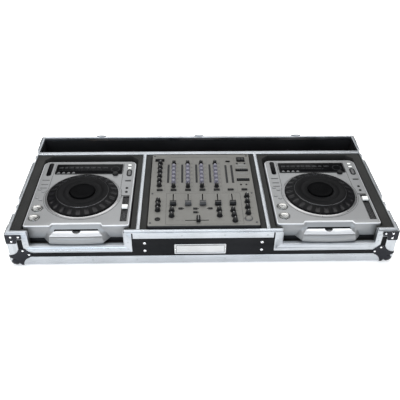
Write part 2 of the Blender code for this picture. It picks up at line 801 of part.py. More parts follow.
# ---- end handles --------------------------------------------------------
pivot_out, pivot_z = HANDLE_PIVOT
for label, sx in SIDES:
    p0, p1 = span(sx, HALF_W - SHEET, HALF_W)
    plate = box("handle_plate_" + label, (p0, -66, 34), (p1, 66, 94), ZINC)
    for end, sy in (("front", -1), ("rear", 1)):
        l0, l1 = span(sx, HALF_W - 0.7, pivot_out + 7)
        a, b = span(sy, 52, 60)
        join(plate, box(f"lug_{end}_{label}", (l0, a, pivot_z - 7.5), (l1, b, pivot_z + 7.5), cutter=True))
    cut(plate, lying_rod("lug_bore_" + label, (sx * pivot_out, 0, pivot_z), "Y", 5.1, 140, sides=20, cutter=True))

    curve = bpy.data.curves.new("handle_bar_" + label, "CURVE")
    curve.dimensions = "3D"
    curve.bevel_depth = 4.5 * MM
    curve.bevel_resolution = 2
    curve.use_fill_caps = True
    half_path = [(HANDLE_HALF, 0.0), (49.0, 0.0), (44.5, -1.6), (41.5, -5.5), (39.5, -13.0), (37.0, -28.0), (34.5, -34.5), (29.0, -39.0), (23.0, -HANDLE_DROP)]
    run = half_path + [(-a, b) for a, b in half_path[::-1]]
    spline = curve.splines.new("POLY")
    spline.points.add(len(run) - 1)
    for point, (along, down) in zip(spline.points, run):
        point.co = (0, along * MM, down * MM, 1)
    # The grip is thicker than the bar.
    for point in spline.points:
        point.radius = 1.42 if abs(point.co[1]) < 0.0235 else 1.0
    handle = bpy.data.objects.new("handle_" + label, curve)
    handle.location = vec(sx * pivot_out, 0, pivot_z)
    curve.materials.append(GRIP)
    PARTS.objects.link(handle)

# ---- players ------------------------------------------------------------
for label, sx in SIDES:
    cx = sx * DECK_X

    def at(x, y):
        return cx + x, DECK_MID_Y + y

    chassis = box(
        "deck_chassis_" + label,
        (cx - 150, DECK_FRONT + 4, DECK_FOOT + 4),
        (cx + 150, DECK_BACK - 2.5, DECK_SPLIT - GAP),
        BLACK_METAL,
    )
    feet = [(cx + a * 122, DECK_MID_Y + b * 138, 13, DECK_FOOT, DECK_FOOT + 5, 13) for a in (-1, 1) for b in (-1, 1)]
    join(chassis, rods("deck_feet_" + label, feet, sides=16, cutter=True))

    body = rounded(
        [
            (cx - DECK_HALF_W, DECK_FRONT),
            (cx + DECK_HALF_W, DECK_FRONT),
            (cx + DECK_HALF_W, DECK_BACK),
            (cx - DECK_HALF_W, DECK_BACK),
        ],
        [8, 8, 20, 20],
        steps=4,
    )
    shell = slab("deck_shell_" + label, body, "XY", DECK_SPLIT, DECK_TOP, SILVER)
    # The disc slot's housing: a sloping face that starts behind the front edge and ends ahead of it.
    cut(shell, box("housing_room_" + label, (cx - 68, DECK_FRONT - FAR, DECK_SPLIT - 5), (cx + 68, -206, DECK_TOP + 5), cutter=True))
    housing = box("housing_" + label, (cx - 91, -266, DECK_SPLIT), (cx + 91, -200, DECK_TOP), cutter=True)
    for vert in housing.data.vertices:
        high = vert.co.z > 0
        if high:
            vert.co.x *= 68.5 / 91
            if vert.co.y < 0:
                vert.co.y = (-231 + 233) * MM
    join(shell, housing)
    # Its apron hangs in front of the chassis, down to the cut-out's sill.
    apron = box("apron_" + label, (cx - 90.5, -262.5, 73.4), (cx + 90.5, -239.7, DECK_SPLIT + 1), cutter=True)
    for vert in apron.data.vertices:
        if vert.co.z < 0:
            vert.co.x *= 83.0 / 90.5
    join(shell, apron)
    slot_y = -252
    cut(
        shell,
        box("disc_slot_" + label, (cx - 64.5, slot_y - FAR, 105.4), (cx + 64.5, -222, 111.4), cutter=True),
    )
    hub_x, hub_y = cx, JOG_Y
    join(shell, rods("hub_" + label, [(hub_x, hub_y, HUB_R, DECK_TOP - 2, 143.5, HUB_R - 1)], sides=32, cutter=True))
    px0, py0 = at(-109, 93)
    px1, py1 = at(109, 148)
    join(shell, box("display_" + label, (px0, py0, DECK_TOP - 1.5), (px1, py1, DECK_TOP + 2.5), cutter=True))
    sx0, sy0 = at(TEMPO_SLOT[0], TEMPO_SLOT[2])
    sx1, sy1 = at(TEMPO_SLOT[1], TEMPO_SLOT[3])
    cut(
        shell,
        box("tempo_track_" + label, (sx0, sy0, DECK_TOP - 3), (sx1, sy1, DECK_TOP + 10), cutter=True),
        rods(
            "button_seats_" + label,
            [(*at(*PLAY), BUTTON_R + 0.8, DECK_TOP - 4, DECK_TOP + 10, BUTTON_R + 0.8), (*at(*CUE), BUTTON_R + 0.8, DECK_TOP - 4, DECK_TOP + 10, BUTTON_R + 0.8)],
            cutter=True,
        ),
    )

    jog = turned(
        "jog_wheel_" + label,
        [
            (79.5, 140.0),
            (83.0, 138.2),
            (JOG_R - 1.0, 130.4),
            (JOG_R, 129.4),
            (JOG_R, DECK_TOP + 0.6),
            (HUB_R + 1.6, DECK_TOP + 0.6),
            (HUB_R + 1.6, 140.0),
        ],
        (hub_x, hub_y),
        BLACK_PLASTIC,
        sides=40,
        origin=(hub_x, hub_y, DECK_TOP),
    )
    jog.data.shade_smooth()

    tx, ty = at(*TEMPO[label])
    box(
        "tempo_slider_" + label,
        (tx - 8.5, ty - 8, DECK_TOP - 2.6),
        (tx + 8.5, ty + 8, DECK_TOP + 7.5),
        WHITE_PLASTIC,
    )
    for word, spot in (("play", PLAY), ("cue", CUE)):
        bx, by = at(*spot)
        rods(
            f"{word}_button_{label}",
            [(bx, by, BUTTON_R, DECK_TOP - 2.3, DECK_TOP + 3.6, BUTTON_R - 0.8)],
            BUTTON_METAL,
            origin=(bx, by, DECK_TOP),
            sides=28,
        )

# ---- mixer --------------------------------------------------------------
mixer = box(
    "mixer_body",
    (MIXER_X - MIXER_HALF_W, MIXER_FRONT, MIXER_FOOT),
    (MIXER_X + MIXER_HALF_W, MIXER_BACK, MIXER_TOP),
    PANEL,
)
tracks = [((x - 2.5, FADER_SLOT[0], MIXER_TOP - 9), (x + 2.5, FADER_SLOT[1], MIXER_TOP + 5)) for x in FADER_X]
tracks.append(((CROSS_SLOT[0], CROSS_Y - 2.5, MIXER_TOP - 9), (CROSS_SLOT[1], CROSS_Y + 2.5, MIXER_TOP + 5)))
cut(mixer, boxes("fader_tracks", tracks, cutter=True))

knobs = []
TONE_Y = (71.0, 49.2, 27.4, 5.6, -16.2, -38.0, -59.8)
for x in FADER_X[:4]:
    for y in TONE_Y:
        knobs.append((x, y, 7.2, 6.2))
for y in (71.0, 46.0, 21.0, -4.0, -29.0, -54.0):
    knobs.append((-133.5, y, 7.5, 6.3))
for x, y in ((-134.0, -137.0), (-134.0, -158.5), (-134.0, -180.0), (-92.0, -183.0), (-92.0, -208.0), (49.0, -183.0), (49.0, -207.5), (90.0, -185.0), (91.5, -208.5), (93.0, -232.0)):
    knobs.append((x, y, 8.0, 6.8))
for x, y in ((137.0, -115.0), (136.0, -143.0), (135.0, -170.5), (134.0, -198.0)):
    knobs.append((x, y, 8.0, 6.8))
join(mixer, rods("knobs", [(x, y, r, MIXER_TOP - 1, MIXER_TOP + 12.5, top) for x, y, r, top in knobs], sides=10, cutter=True))

for k, x in enumerate(FADER_X):
    name = f"channel_fader_{k + 1}" if k < 4 else "master_fader"
    fader = box(
        name,
        (x - 9.5, FADER_Y - 8, MIXER_TOP + 1.2),
        (x + 9.5, FADER_Y + 8, MIXER_TOP + 12.5),
        BLACK_PLASTIC,
        origin=(x, FADER_Y, MIXER_TOP),
    )
    join(fader, box("stem_" + name, (x - 1.2, FADER_Y - 3, MIXER_TOP - 6), (x + 1.2, FADER_Y + 3, MIXER_TOP + 3), cutter=True))
cross = box(
    "crossfader",
    (CROSS_X - 6, CROSS_Y - 10, MIXER_TOP + 1.2),
    (CROSS_X + 6, CROSS_Y + 10, MIXER_TOP + 12.5),
    BLACK_PLASTIC,
    origin=(CROSS_X, CROSS_Y, MIXER_TOP),
)
join(cross, box("stem_crossfader", (CROSS_X - 3, CROSS_Y - 1.2, MIXER_TOP - 6), (CROSS_X + 3, CROSS_Y + 1.2, MIXER_TOP + 3), cutter=True))

# ---- on to the floor -----------------------------------------------------
for obj in [*PARTS.objects, *CUTTERS.objects]:
    obj.location.z += RISE * MM
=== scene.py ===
import json
import math

import bmesh
import bpy
from mathutils import Matrix, Vector

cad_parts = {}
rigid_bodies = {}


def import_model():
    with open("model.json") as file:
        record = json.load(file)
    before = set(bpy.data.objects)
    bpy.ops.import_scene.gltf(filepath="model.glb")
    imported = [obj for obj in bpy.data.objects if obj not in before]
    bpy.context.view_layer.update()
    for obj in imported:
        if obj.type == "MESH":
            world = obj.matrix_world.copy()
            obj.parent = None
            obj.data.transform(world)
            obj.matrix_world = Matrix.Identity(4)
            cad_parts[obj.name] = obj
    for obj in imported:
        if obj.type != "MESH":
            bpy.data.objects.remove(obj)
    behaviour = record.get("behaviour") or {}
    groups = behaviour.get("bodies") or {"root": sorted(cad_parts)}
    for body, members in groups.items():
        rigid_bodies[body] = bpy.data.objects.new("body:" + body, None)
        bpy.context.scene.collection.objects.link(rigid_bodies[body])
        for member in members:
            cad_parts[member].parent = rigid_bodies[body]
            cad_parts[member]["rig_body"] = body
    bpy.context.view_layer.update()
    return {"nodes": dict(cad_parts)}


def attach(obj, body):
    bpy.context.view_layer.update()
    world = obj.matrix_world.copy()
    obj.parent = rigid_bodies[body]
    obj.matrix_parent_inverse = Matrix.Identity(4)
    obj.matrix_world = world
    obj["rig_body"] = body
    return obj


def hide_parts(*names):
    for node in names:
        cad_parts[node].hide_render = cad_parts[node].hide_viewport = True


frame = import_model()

MM = 0.001
SCENE = bpy.context.scene
CAD_BODY = {n: o["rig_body"] for n, o in frame["nodes"].items()}

# Sizes below are in millimetres. X runs right, Y back, Z up, from the plane of the case's bottom panel. Before the
# floor and the camera are made, every piece is raised by RISE, because the case stands that far up on its ball corners.
RISE = 6.5
PIECES = []

# ------------------------------------------------------------------ materials


def node(tree, kind, **values):
    made = tree.nodes.new(kind)
    for key, value in values.items():
        if key in made.inputs:
            made.inputs[key].default_value = value
        else:
            setattr(made, key, value)
    return made


def place_of(tree, stretch=(1, 1, 1)):
    """Coordinates on the object itself, in metres, stretched for a grain."""
    coords = node(tree, "ShaderNodeTexCoord")
    mapping = node(tree, "ShaderNodeMapping")
    mapping.inputs["Scale"].default_value = stretch
    tree.links.new(coords.outputs["Object"], mapping.inputs["Vector"])
    return mapping.outputs["Vector"]


def grain(tree, stretch, scale, detail=3.0, rough=0.55):
    made = node(tree, "ShaderNodeTexNoise", Scale=scale, Detail=detail, Roughness=rough)
    tree.links.new(place_of(tree, stretch), made.inputs["Vector"])
    return made.outputs["Fac"]


def cells(tree, stretch, scale, feature="F1", smooth=None, output="Distance"):
    made = node(tree, "ShaderNodeTexVoronoi", Scale=scale)
    made.feature = feature
    if smooth is not None:
        made.inputs["Smoothness"].default_value = smooth
    tree.links.new(place_of(tree, stretch), made.inputs["Vector"])
    return made.outputs[output]


def spread(tree, value, low, high, to_low=0.0, to_high=1.0):
    made = node(tree, "ShaderNodeMapRange")
    made.inputs["From Min"].default_value = low
    made.inputs["From Max"].default_value = high
    made.inputs["To Min"].default_value = to_low
    made.inputs["To Max"].default_value = to_high
    tree.links.new(value, made.inputs["Value"])
    return made.outputs["Result"]


def blend_colours(tree, share, a, b):
    made = node(tree, "ShaderNodeMix", data_type="RGBA")
    colour_inputs = [i for i in made.inputs if i.type == "RGBA"]
    factor = next(i for i in made.inputs if i.type == "VALUE")
    for socket, value in zip(colour_inputs, (a, b)):
        if isinstance(value, bpy.types.NodeSocket):
            tree.links.new(value, socket)
        else:
            socket.default_value = (*value, 1.0)
    tree.links.new(share, factor)
    return next(o for o in made.outputs if o.type == "RGBA")


def maths(tree, operation, a, b=0.0):
    made = node(tree, "ShaderNodeMath", operation=operation)
    for socket, value in zip(made.inputs, (a, b)):
        if isinstance(value, bpy.types.NodeSocket):
            tree.links.new(value, socket)
        else:
            socket.default_value = value
    return made.outputs[0]


def relief(tree, shader, heights):
    """Chained bumps: each is (height socket, strength, depth in metres)."""
    last = None
    for height, strength, depth in heights:
        made = node(tree, "ShaderNodeBump", Strength=strength, Distance=depth)
        tree.links.new(height, made.inputs["Height"])
        if last is not None:
            tree.links.new(last, made.inputs["Normal"])
        last = made.outputs["Normal"]
    if last is not None:
        tree.links.new(last, shader.inputs["Normal"])


def started(name, metallic=0.0, ior=None, coat=None, coat_rough=None, specular=None, sheen=None):
    made = bpy.data.materials.new(name)
    made.use_nodes = True
    tree = made.node_tree
    shader = tree.nodes["Principled BSDF"]
    shader.inputs["Metallic"].default_value = metallic
    for key, value in (("IOR", ior), ("Coat Weight", coat), ("Coat Roughness", coat_rough), ("Specular IOR Level", specular), ("Sheen Weight", sheen)):
        if value is not None:
            shader.inputs[key].default_value = value
    return made, tree, shader


def painted(
    name,
    colour,
    roughness,
    metallic=0.0,
    vary=0.10,
    vary_scale=14.0,
    rough_vary=0.06,
    rough_scale=70.0,
    stretch=(1, 1, 1),
    relief_by=(),
    wear=None,
    **even,
):
    """A finish with a slow drift of tone, an uneven sheen and a fine relief.

    wear is (colour, scale, from, to, share): sparse marks where a noise passes a level.
    relief_by lists (kind, stretch, scale, strength, depth).
    """
    made, tree, shader = started(name, metallic, **even)
    drift = spread(tree, grain(tree, (1, 1, 1), vary_scale, 4.0), 0.3, 0.7)
    darker = tuple(c * (1 - vary) for c in colour)
    lighter = tuple(min(1.0, c * (1 + vary)) for c in colour)
    base = blend_colours(tree, drift, darker, lighter)
    rough = spread(tree, grain(tree, stretch, rough_scale, 3.0), 0.3, 0.7, max(0.03, roughness - rough_vary), min(1.0, roughness + rough_vary))
    if wear is not None:
        mark, scale, low, high, share = wear
        mask = spread(tree, grain(tree, stretch, scale, 6.0, 0.7), low, high, 0.0, share)
        base = blend_colours(tree, mask, base, mark)
    tree.links.new(base, shader.inputs["Base Color"])
    tree.links.new(rough, shader.inputs["Roughness"])
    heights = []
    for kind, pull, scale, strength, depth in relief_by:
        if kind == "grain":
            height = grain(tree, pull, scale, 4.0, 0.6)
        elif kind == "pebble":
            height = cells(tree, pull, scale, "SMOOTH_F1", 0.6)
        elif kind == "cells":
            height = cells(tree, pull, scale)
        else:
            height = spread(tree, cells(tree, pull, scale), 0.0, 0.35)
        heights.append((height, strength, depth))
    relief(tree, shader, heights)
    return made


def drawn_aluminium(name, along, colour=(0.475, 0.495, 0.52), roughness=0.33):
    """Natural aluminium with die lines along one axis, handling scratches and dull clouds."""
    made, tree, shader = started(name, 1.0)
    across = {"X": (6, 1, 1), "Y": (1, 6, 1), "Z": (1, 1, 6)}[along]
    pull = tuple(1.0 / a if a > 1 else 1.0 for a in across)
    lines = grain(tree, tuple(p * 1.0 if p == 1.0 else 0.012 for p in pull), 620.0, 2.0, 0.6)
    fine = grain(tree, tuple(p * 1.0 if p == 1.0 else 0.02 for p in pull), 2300.0, 2.0, 0.6)
    clouds = spread(tree, grain(tree, (1, 1, 1), 11.0, 5.0, 0.6), 0.32, 0.68)
    tone = blend_colours(tree, clouds, tuple(c * 0.86 for c in colour), tuple(min(1, c * 1.08) for c in colour))
    dark = spread(tree, lines, 0.56, 0.76, 0.0, 0.32)
    tone = blend_colours(tree, dark, tone, tuple(c * 0.55 for c in colour))
    marks = spread(tree, grain(tree, (1, 1, 1), 150.0, 7.0, 0.75), 0.63, 0.73, 0.0, 0.32)
    tone = blend_colours(tree, marks, tone, tuple(c * 0.62 for c in colour))
    rough = maths(tree, "ADD", spread(tree, lines, 0.3, 0.7, roughness - 0.09, roughness + 0.09), spread(tree, clouds, 0.0, 1.0, -0.05, 0.06))
    tree.links.new(tone, shader.inputs["Base Color"])
    tree.links.new(rough, shader.inputs["Roughness"])
    relief(tree, shader, [(lines, 0.10, 0.0003), (fine, 0.05, 0.0001), (marks, 0.10, 0.0002)])
    return made


def plated(name, colour, roughness, clouds_share=0.25, smear=0.05, scratch=0.25):
    """Plated or polished steel: faint clouds, finger smears and hairline scratches."""
    made, tree, shader = started(name, 1.0)
    clouds = spread(tree, grain(tree, (1, 1, 1), 32.0, 5.0, 0.62), 0.35, 0.65)
    tone = blend_colours(tree, clouds, tuple(c * (1 - clouds_share) for c in colour), tuple(min(1, c * (1 + clouds_share * 0.5)) for c in colour))
    hair = spread(tree, grain(tree, (1, 0.06, 1), 700.0, 4.0, 0.7), 0.66, 0.74, 0.0, scratch)
    hair2 = spread(tree, grain(tree, (0.08, 1, 1), 520.0, 4.0, 0.7), 0.68, 0.76, 0.0, scratch)
    both = maths(tree, "MAXIMUM", hair, hair2)
    tone = blend_colours(tree, both, tone, tuple(c * 0.6 for c in colour))
    rough = maths(tree, "ADD", spread(tree, grain(tree, (1, 1, 1), 60.0, 4.0), 0.3, 0.7, roughness - smear * 0.5, roughness + smear), maths(tree, "MULTIPLY", both, 0.4))
    tree.links.new(tone, shader.inputs["Base Color"])
    tree.links.new(rough, shader.inputs["Roughness"])
    relief(tree, shader, [(grain(tree, (1, 1, 1), 90.0, 3.0), 0.06, 0.0004), (both, 0.05, 0.0001)])
    return made


LAMINATE = painted(
    "black_laminate_sheet", (0.0135, 0.0135, 0.0145), 0.47, vary=0.25, vary_scale=7.0, rough_vary=0.09, rough_scale=30.0,
    relief_by=[("cells", (1, 1, 1), 620.0, 0.22, 0.0004), ("grain", (1, 1, 1), 1500.0, 0.10, 0.0002)],
    wear=((0.05, 0.05, 0.053), 260.0, 0.70, 0.80, 0.35), specular=0.05,
)
PLY = painted(
    "plywood_edge", (0.42, 0.27, 0.14), 0.75, vary=0.35, vary_scale=22.0, rough_scale=200.0,
    relief_by=[("grain", (0.4, 0.4, 6), 420.0, 0.5, 0.0006), ("grain", (1, 1, 1), 1800.0, 0.2, 0.0002)],
    wear=((0.16, 0.09, 0.045), 190.0, 0.5, 0.62, 0.8), specular=0.3,
)
ALU_X = drawn_aluminium("aluminium_run_x", "X")
ALU_Y = drawn_aluminium("aluminium_run_y", "Y")
ALU_Z = drawn_aluminium("aluminium_run_z", "Z")
# The chrome's near-black base is painted reflection: it stands for dark surroundings mirrored in the plates and balls,
# not the metal's own colour.
CHROME = plated("chrome_painted_dark_reflection", (0.028, 0.029, 0.034), 0.09, 0.12, 0.04, 0.2)
RIVET = plated("nickel_rivet", (0.86, 0.86, 0.87), 0.22, 0.1, 0.06, 0.15)
ALU_RIVET = plated("aluminium_rivet", (0.44, 0.46, 0.48), 0.42, 0.2, 0.08, 0.2)
ZINC = plated("zinc_plate", (0.48, 0.50, 0.52), 0.32, 0.25, 0.08, 0.35)
DARK_STEEL = plated("dark_steel", (0.10, 0.10, 0.105), 0.35, 0.30, 0.08, 0.35)
BRUSHED = drawn_aluminium("brushed_badge", "X", (0.52, 0.525, 0.53), 0.30)
FOAM = painted(
    "grey_lining_foam", (0.026, 0.026, 0.025), 0.93, vary=0.22, vary_scale=9.0, rough_vary=0.05, rough_scale=150.0,
    relief_by=[("cells", (1, 1, 1), 900.0, 0.55, 0.0006), ("grain", (1, 1, 1), 300.0, 0.35, 0.0008)],
    wear=((0.045, 0.045, 0.043), 120.0, 0.55, 0.8, 0.5), specular=0.15, sheen=0.04,
)
RUBBER = painted(
    "handle_rubber", (0.018, 0.018, 0.018), 0.68, vary=0.2, vary_scale=40.0, rough_vary=0.08,
    relief_by=[("grain", (1, 1, 1), 1300.0, 0.35, 0.0003)], wear=((0.06, 0.06, 0.06), 300.0, 0.62, 0.75, 0.5), specular=0.35,
)
POWDER = painted(
    "black_powder_coat", (0.016, 0.016, 0.018), 0.52, vary=0.15, vary_scale=20.0, rough_vary=0.06,
    relief_by=[("pebble", (1, 1, 1), 1100.0, 0.30, 0.0003)], specular=0.3,
)
MOULDED = painted(
    "black_moulded_plastic", (0.0065, 0.0065, 0.007), 0.42, vary=0.18, vary_scale=30.0, rough_vary=0.07,
    relief_by=[("grain", (1, 1, 1), 1600.0, 0.22, 0.0002)], wear=((0.03, 0.03, 0.03), 400.0, 0.68, 0.8, 0.3), specular=0.18,
)
JOG_TOP = painted(
    "jog_platter_finish", (0.0045, 0.0045, 0.005), 0.40, vary=0.12, vary_scale=18.0, rough_vary=0.05,
    relief_by=[("grain", (1, 1, 1), 1700.0, 0.22, 0.0002)], specular=0.05,
)
PAD = painted(
    "finger_pad_finish", (0.0050, 0.0048, 0.0060), 0.24, vary=0.15, vary_scale=60.0, rough_vary=0.05,
    relief_by=[("grain", (1, 1, 1), 1700.0, 0.25, 0.0002)], specular=0.14,
)
GLOSS = painted(
    "smoked_window", (0.003, 0.003, 0.0035), 0.16, vary=0.3, vary_scale=25.0, rough_vary=0.04, rough_scale=45.0,
    relief_by=[("grain", (1, 1, 1), 60.0, 0.02, 0.0003)], specular=0.03,
)
HUB_TOP = painted(
    "hub_window", (0.0016, 0.0016, 0.0019), 0.22, vary=0.3, vary_scale=25.0, rough_vary=0.04, rough_scale=45.0,
    relief_by=[("grain", (1, 1, 1), 60.0, 0.02, 0.0003)], specular=0.012,
)
SILVER = painted(
    "silver_lacquer", (0.243, 0.246, 0.250), 0.38, metallic=0.36, vary=0.05, vary_scale=6.0, rough_vary=0.04, rough_scale=90.0,
    relief_by=[("grain", (1, 1, 1), 2400.0, 0.07, 0.0001), ("pebble", (1, 1, 1), 500.0, 0.02, 0.0002)],
    wear=((0.30, 0.30, 0.30), 2600.0, 0.58, 0.75, 0.5), specular=0.5,
)
# Pale lacquer of the disc lips; on the players' rounded top edges it is a painted highlight.
BRIGHT_SILVER = painted(
    "bright_silver_lacquer", (0.60, 0.61, 0.63), 0.34, metallic=0.30, vary=0.04, vary_scale=6.0, rough_vary=0.03,
    relief_by=[("grain", (1, 1, 1), 900.0, 0.02, 0.0001)], coat=0.3, coat_rough=0.12,
)
COLLAR = painted(
    "collar_metal", (0.27, 0.27, 0.275), 0.30, metallic=0.90, vary=0.05, vary_scale=20.0, rough_vary=0.04,
    relief_by=[("grain", (1, 1, 1), 900.0, 0.02, 0.0001)],
)
KEY_STEEL = plated("key_cap_metal", (0.80, 0.80, 0.79), 0.17, 0.08, 0.05, 0.2)
WHITE = painted(
    "white_key_plastic", (0.80, 0.80, 0.78), 0.35, vary=0.05, vary_scale=60.0,
    relief_by=[("grain", (1, 1, 1), 1500.0, 0.12, 0.0001)], specular=0.5,
)
LIT = painted(
    "lit_lens", (0.86, 0.87, 0.84), 0.22, vary=0.05, vary_scale=80.0, relief_by=[("grain", (1, 1, 1), 900.0, 0.06, 0.0001)], specular=0.6,
)
PANEL = painted(
    "warm_grey_panel", (0.158, 0.155, 0.145), 0.50, metallic=0.25, vary=0.08, vary_scale=7.0, rough_vary=0.06, rough_scale=120.0,
    relief_by=[("pebble", (1, 1, 1), 1500.0, 0.10, 0.0002), ("grain", (1, 1, 1), 2600.0, 0.08, 0.0001)],
    wear=((0.27, 0.266, 0.25), 900.0, 0.58, 0.78, 0.4), specular=0.35,
)
PANEL_LINE = painted("panel_ink", (0.03, 0.03, 0.03), 0.55, vary=0.2, vary_scale=60.0, relief_by=[("grain", (1, 1, 1), 1500.0, 0.1, 0.0001)])
PALE_INK = painted("pale_ink", (0.62, 0.62, 0.60), 0.5, vary=0.1, vary_scale=60.0, relief_by=[("grain", (1, 1, 1), 1500.0, 0.1, 0.0001)])
POINTER = painted("pointer_ink", (0.27, 0.27, 0.265), 0.5, vary=0.1, vary_scale=60.0, relief_by=[("grain", (1, 1, 1), 1500.0, 0.1, 0.0001)])
LILAC = painted(
    "lilac_grey_knob", (0.150, 0.145, 0.185), 0.50, vary=0.12, vary_scale=60.0, rough_vary=0.08,
    relief_by=[("grain", (1, 1, 1), 1600.0, 0.25, 0.0002)], specular=0.5,
)

CELL = painted(
    "display_cells", (0.016, 0.017, 0.018), 0.25, vary=0.35, vary_scale=160.0, rough_vary=0.06,
    relief_by=[("grain", (1, 1, 1), 400.0, 0.05, 0.0002)], specular=0.14,
)
CAP_GREY = painted(
    "grey_fader_cap", (0.034, 0.034, 0.036), 0.50, vary=0.15, vary_scale=60.0, rough_vary=0.06,
    relief_by=[("grain", (1, 1, 1), 1600.0, 0.22, 0.0002)], specular=0.4,
)
SHADOW_SILVER = painted(
    "dull_silver_key", (0.115, 0.115, 0.118), 0.42, metallic=0.3, vary=0.12, vary_scale=40.0, rough_vary=0.05,
    relief_by=[("grain", (1, 1, 1), 2000.0, 0.08, 0.0001)],
)
FADED_INK = painted("faded_ink", (0.16, 0.16, 0.16), 0.55, vary=0.2, vary_scale=90.0, relief_by=[("grain", (1, 1, 1), 1500.0, 0.1, 0.0001)])
LENS = painted("dark_lens_ring", (0.035, 0.045, 0.040), 0.22, vary=0.2, vary_scale=70.0, relief_by=[("grain", (1, 1, 1), 800.0, 0.05, 0.0001)], specular=0.6)


def spun_metal(name, colour, roughness):
    """Metal turned on a lathe: fine rings round its middle pull the highlight into two wedges."""
    made, tree, shader = started(name, 1.0)
    clouds = spread(tree, grain(tree, (1, 1, 1), 90.0, 4.0), 0.3, 0.7)
    tree.links.new(blend_colours(tree, clouds, tuple(c * 0.9 for c in colour), tuple(min(1, c * 1.06) for c in colour)), shader.inputs["Base Color"])
    tree.links.new(spread(tree, grain(tree, (1, 1, 1), 300.0, 3.0), 0.3, 0.7, roughness - 0.05, roughness + 0.05), shader.inputs["Roughness"])
    shader.inputs["Anisotropic"].default_value = 0.85
    around = node(tree, "ShaderNodeTangent")
    around.direction_type = "RADIAL"
    around.axis = "Z"
    tree.links.new(around.outputs["Tangent"], shader.inputs["Tangent"])
    relief(tree, shader, [(grain(tree, (1, 1, 1), 1200.0, 2.0), 0.06, 0.0001)])
    return made


SPUN = spun_metal("spun_button_metal", (0.36, 0.36, 0.355), 0.24)


# ------------------------------------------------------------------ mesh helpers


def new_faces(bm, before, index):
    bm.faces.ensure_lookup_table()
    for face in bm.faces[before:]:
        face.material_index = index


def quad_box(bm, lo, hi, index=0):
    before = len(bm.faces)
    made = bmesh.ops.create_cube(bm, size=1.0)["verts"]
    bmesh.ops.scale(bm, vec=[max(h - l, 0.001) for l, h in zip(lo, hi)], verts=made)
    bmesh.ops.translate(bm, vec=[(h + l) / 2 for l, h in zip(lo, hi)], verts=made)
    new_faces(bm, before, index)
    return made


def soft_box(bm, lo, hi, radius, steps=2, index=0, only=None):
    """A box with rounded edges. only(edge) picks the edges that are rounded."""
    before = len(bm.faces)
    made = quad_box(bm, lo, hi)
    edges = {e for v in made for e in v.link_edges}
    if only is not None:
        edges = {e for e in edges if only(e)}
    limit = min(h - l for l, h in zip(lo, hi)) * 0.49
    bmesh.ops.bevel(bm, geom=list(edges), offset=min(radius, limit), segments=steps, profile=0.5, affect="EDGES", clamp_overlap=True)
    new_faces(bm, before, index)


def rounded(points, radii, steps=5):
    """A closed outline with each corner rounded by its radius."""
    made = []
    count = len(points)
    if not isinstance(radii, (list, tuple)):
        radii = [radii] * count
    for k, (point, radius) in enumerate(zip(points, radii)):
        here = Vector(point)
        if radius <= 0:
            made.append(tuple(here))
            continue
        to_last = (Vector(points[k - 1]) - here).normalized()
        to_next = (Vector(points[(k + 1) % count]) - here).normalized()
        half = to_last.angle(to_next) / 2
        if abs(half - math.pi / 2) < 0.01:
            made.append(tuple(here))
            continue
        reach = radius / math.tan(half)
        start, end = here + to_last * reach, here + to_next * reach
        centre = here + (to_last + to_next).normalized() * (radius / math.sin(half))
        a, b = start - centre, end - centre
        sweep = a.angle(b)
        for s in range(steps + 1):
            t = s / steps
            mixed = (a * math.sin((1 - t) * sweep) + b * math.sin(t * sweep)) / math.sin(sweep)
            made.append(tuple(centre + mixed))
    return made


ORDER = {"XY": (0, 1, 2), "XZ": (0, 2, 1), "YZ": (2, 0, 1)}


def in_plane(plane, a, b, c):
    """The point whose two outline coordinates are a and b, at c along the third axis."""
    local = (a, b, c)
    return Vector([local[k] for k in ORDER[plane]])


def prism(bm, outline, plane, low, high, index=0, cap_index=None):
    before = len(bm.faces)
    lower = [bm.verts.new(in_plane(plane, a, b, low)) for a, b in outline]
    upper = [bm.verts.new(in_plane(plane, a, b, high)) for a, b in outline]
    count = len(outline)
    for k in range(count):
        bm.faces.new((lower[k], lower[(k + 1) % count], upper[(k + 1) % count], upper[k]))
    new_faces(bm, before, index)
    caps = len(bm.faces)
    bm.faces.new(lower[::-1])
    bm.faces.new(upper)
    new_faces(bm, caps, index if cap_index is None else cap_index)
    return lower + upper


def lathe(bm, profile, centre, axis="Z", steps=32, index=0, closed=False, start=0.0, squash=None):
    """A profile of (radius, height) spun about an axis through centre. A radius of 0 closes to a point."""
    before = len(bm.faces)
    turns = [start + 2 * math.pi * k / steps for k in range(steps)]
    rings = []
    for radius, height in profile:
        if radius <= 1e-6:
            rings.append([bm.verts.new(axis_point(centre, axis, 0, 0, height))])
        else:
            ring = []
            for turn in turns:
                r = radius if squash is None else radius * squash(turn, radius, height)
                ring.append(bm.verts.new(axis_point(centre, axis, r * math.cos(turn), r * math.sin(turn), height)))
            rings.append(ring)
    pairs = list(zip(rings, rings[1:]))
    if closed:
        pairs.append((rings[-1], rings[0]))
    for a, b in pairs:
        for k in range(steps):
            j = (k + 1) % steps
            if len(a) == 1 and len(b) == 1:
                continue
            if len(a) == 1:
                bm.faces.new((a[0], b[j], b[k]))
            elif len(b) == 1:
                bm.faces.new((a[k], a[j], b[0]))
            else:
                bm.faces.new((a[k], a[j], b[j], b[k]))
    if not closed:
        for ring, flip in ((rings[0], True), (rings[-1], False)):
            if len(ring) > 1:
                bm.faces.new(ring[::-1] if flip else ring)
    new_faces(bm, before, index)
    return [v for ring in rings for v in ring]


def axis_point(centre, axis, a, b, h):
    x, y, z = centre
    if axis == "Z":
        return Vector((x + a, y + b, z + h))
    if axis == "-Z":
        return Vector((x + a, y - b, z - h))
    if axis == "X":
        return Vector((x + h, y + a, z + b))
    if axis == "-X":
        return Vector((x - h, y - a, z + b))
    if axis == "Y":
        return Vector((x + b, y + h, z + a))
    return Vector((x + a, y - h, z + b))  # -Y


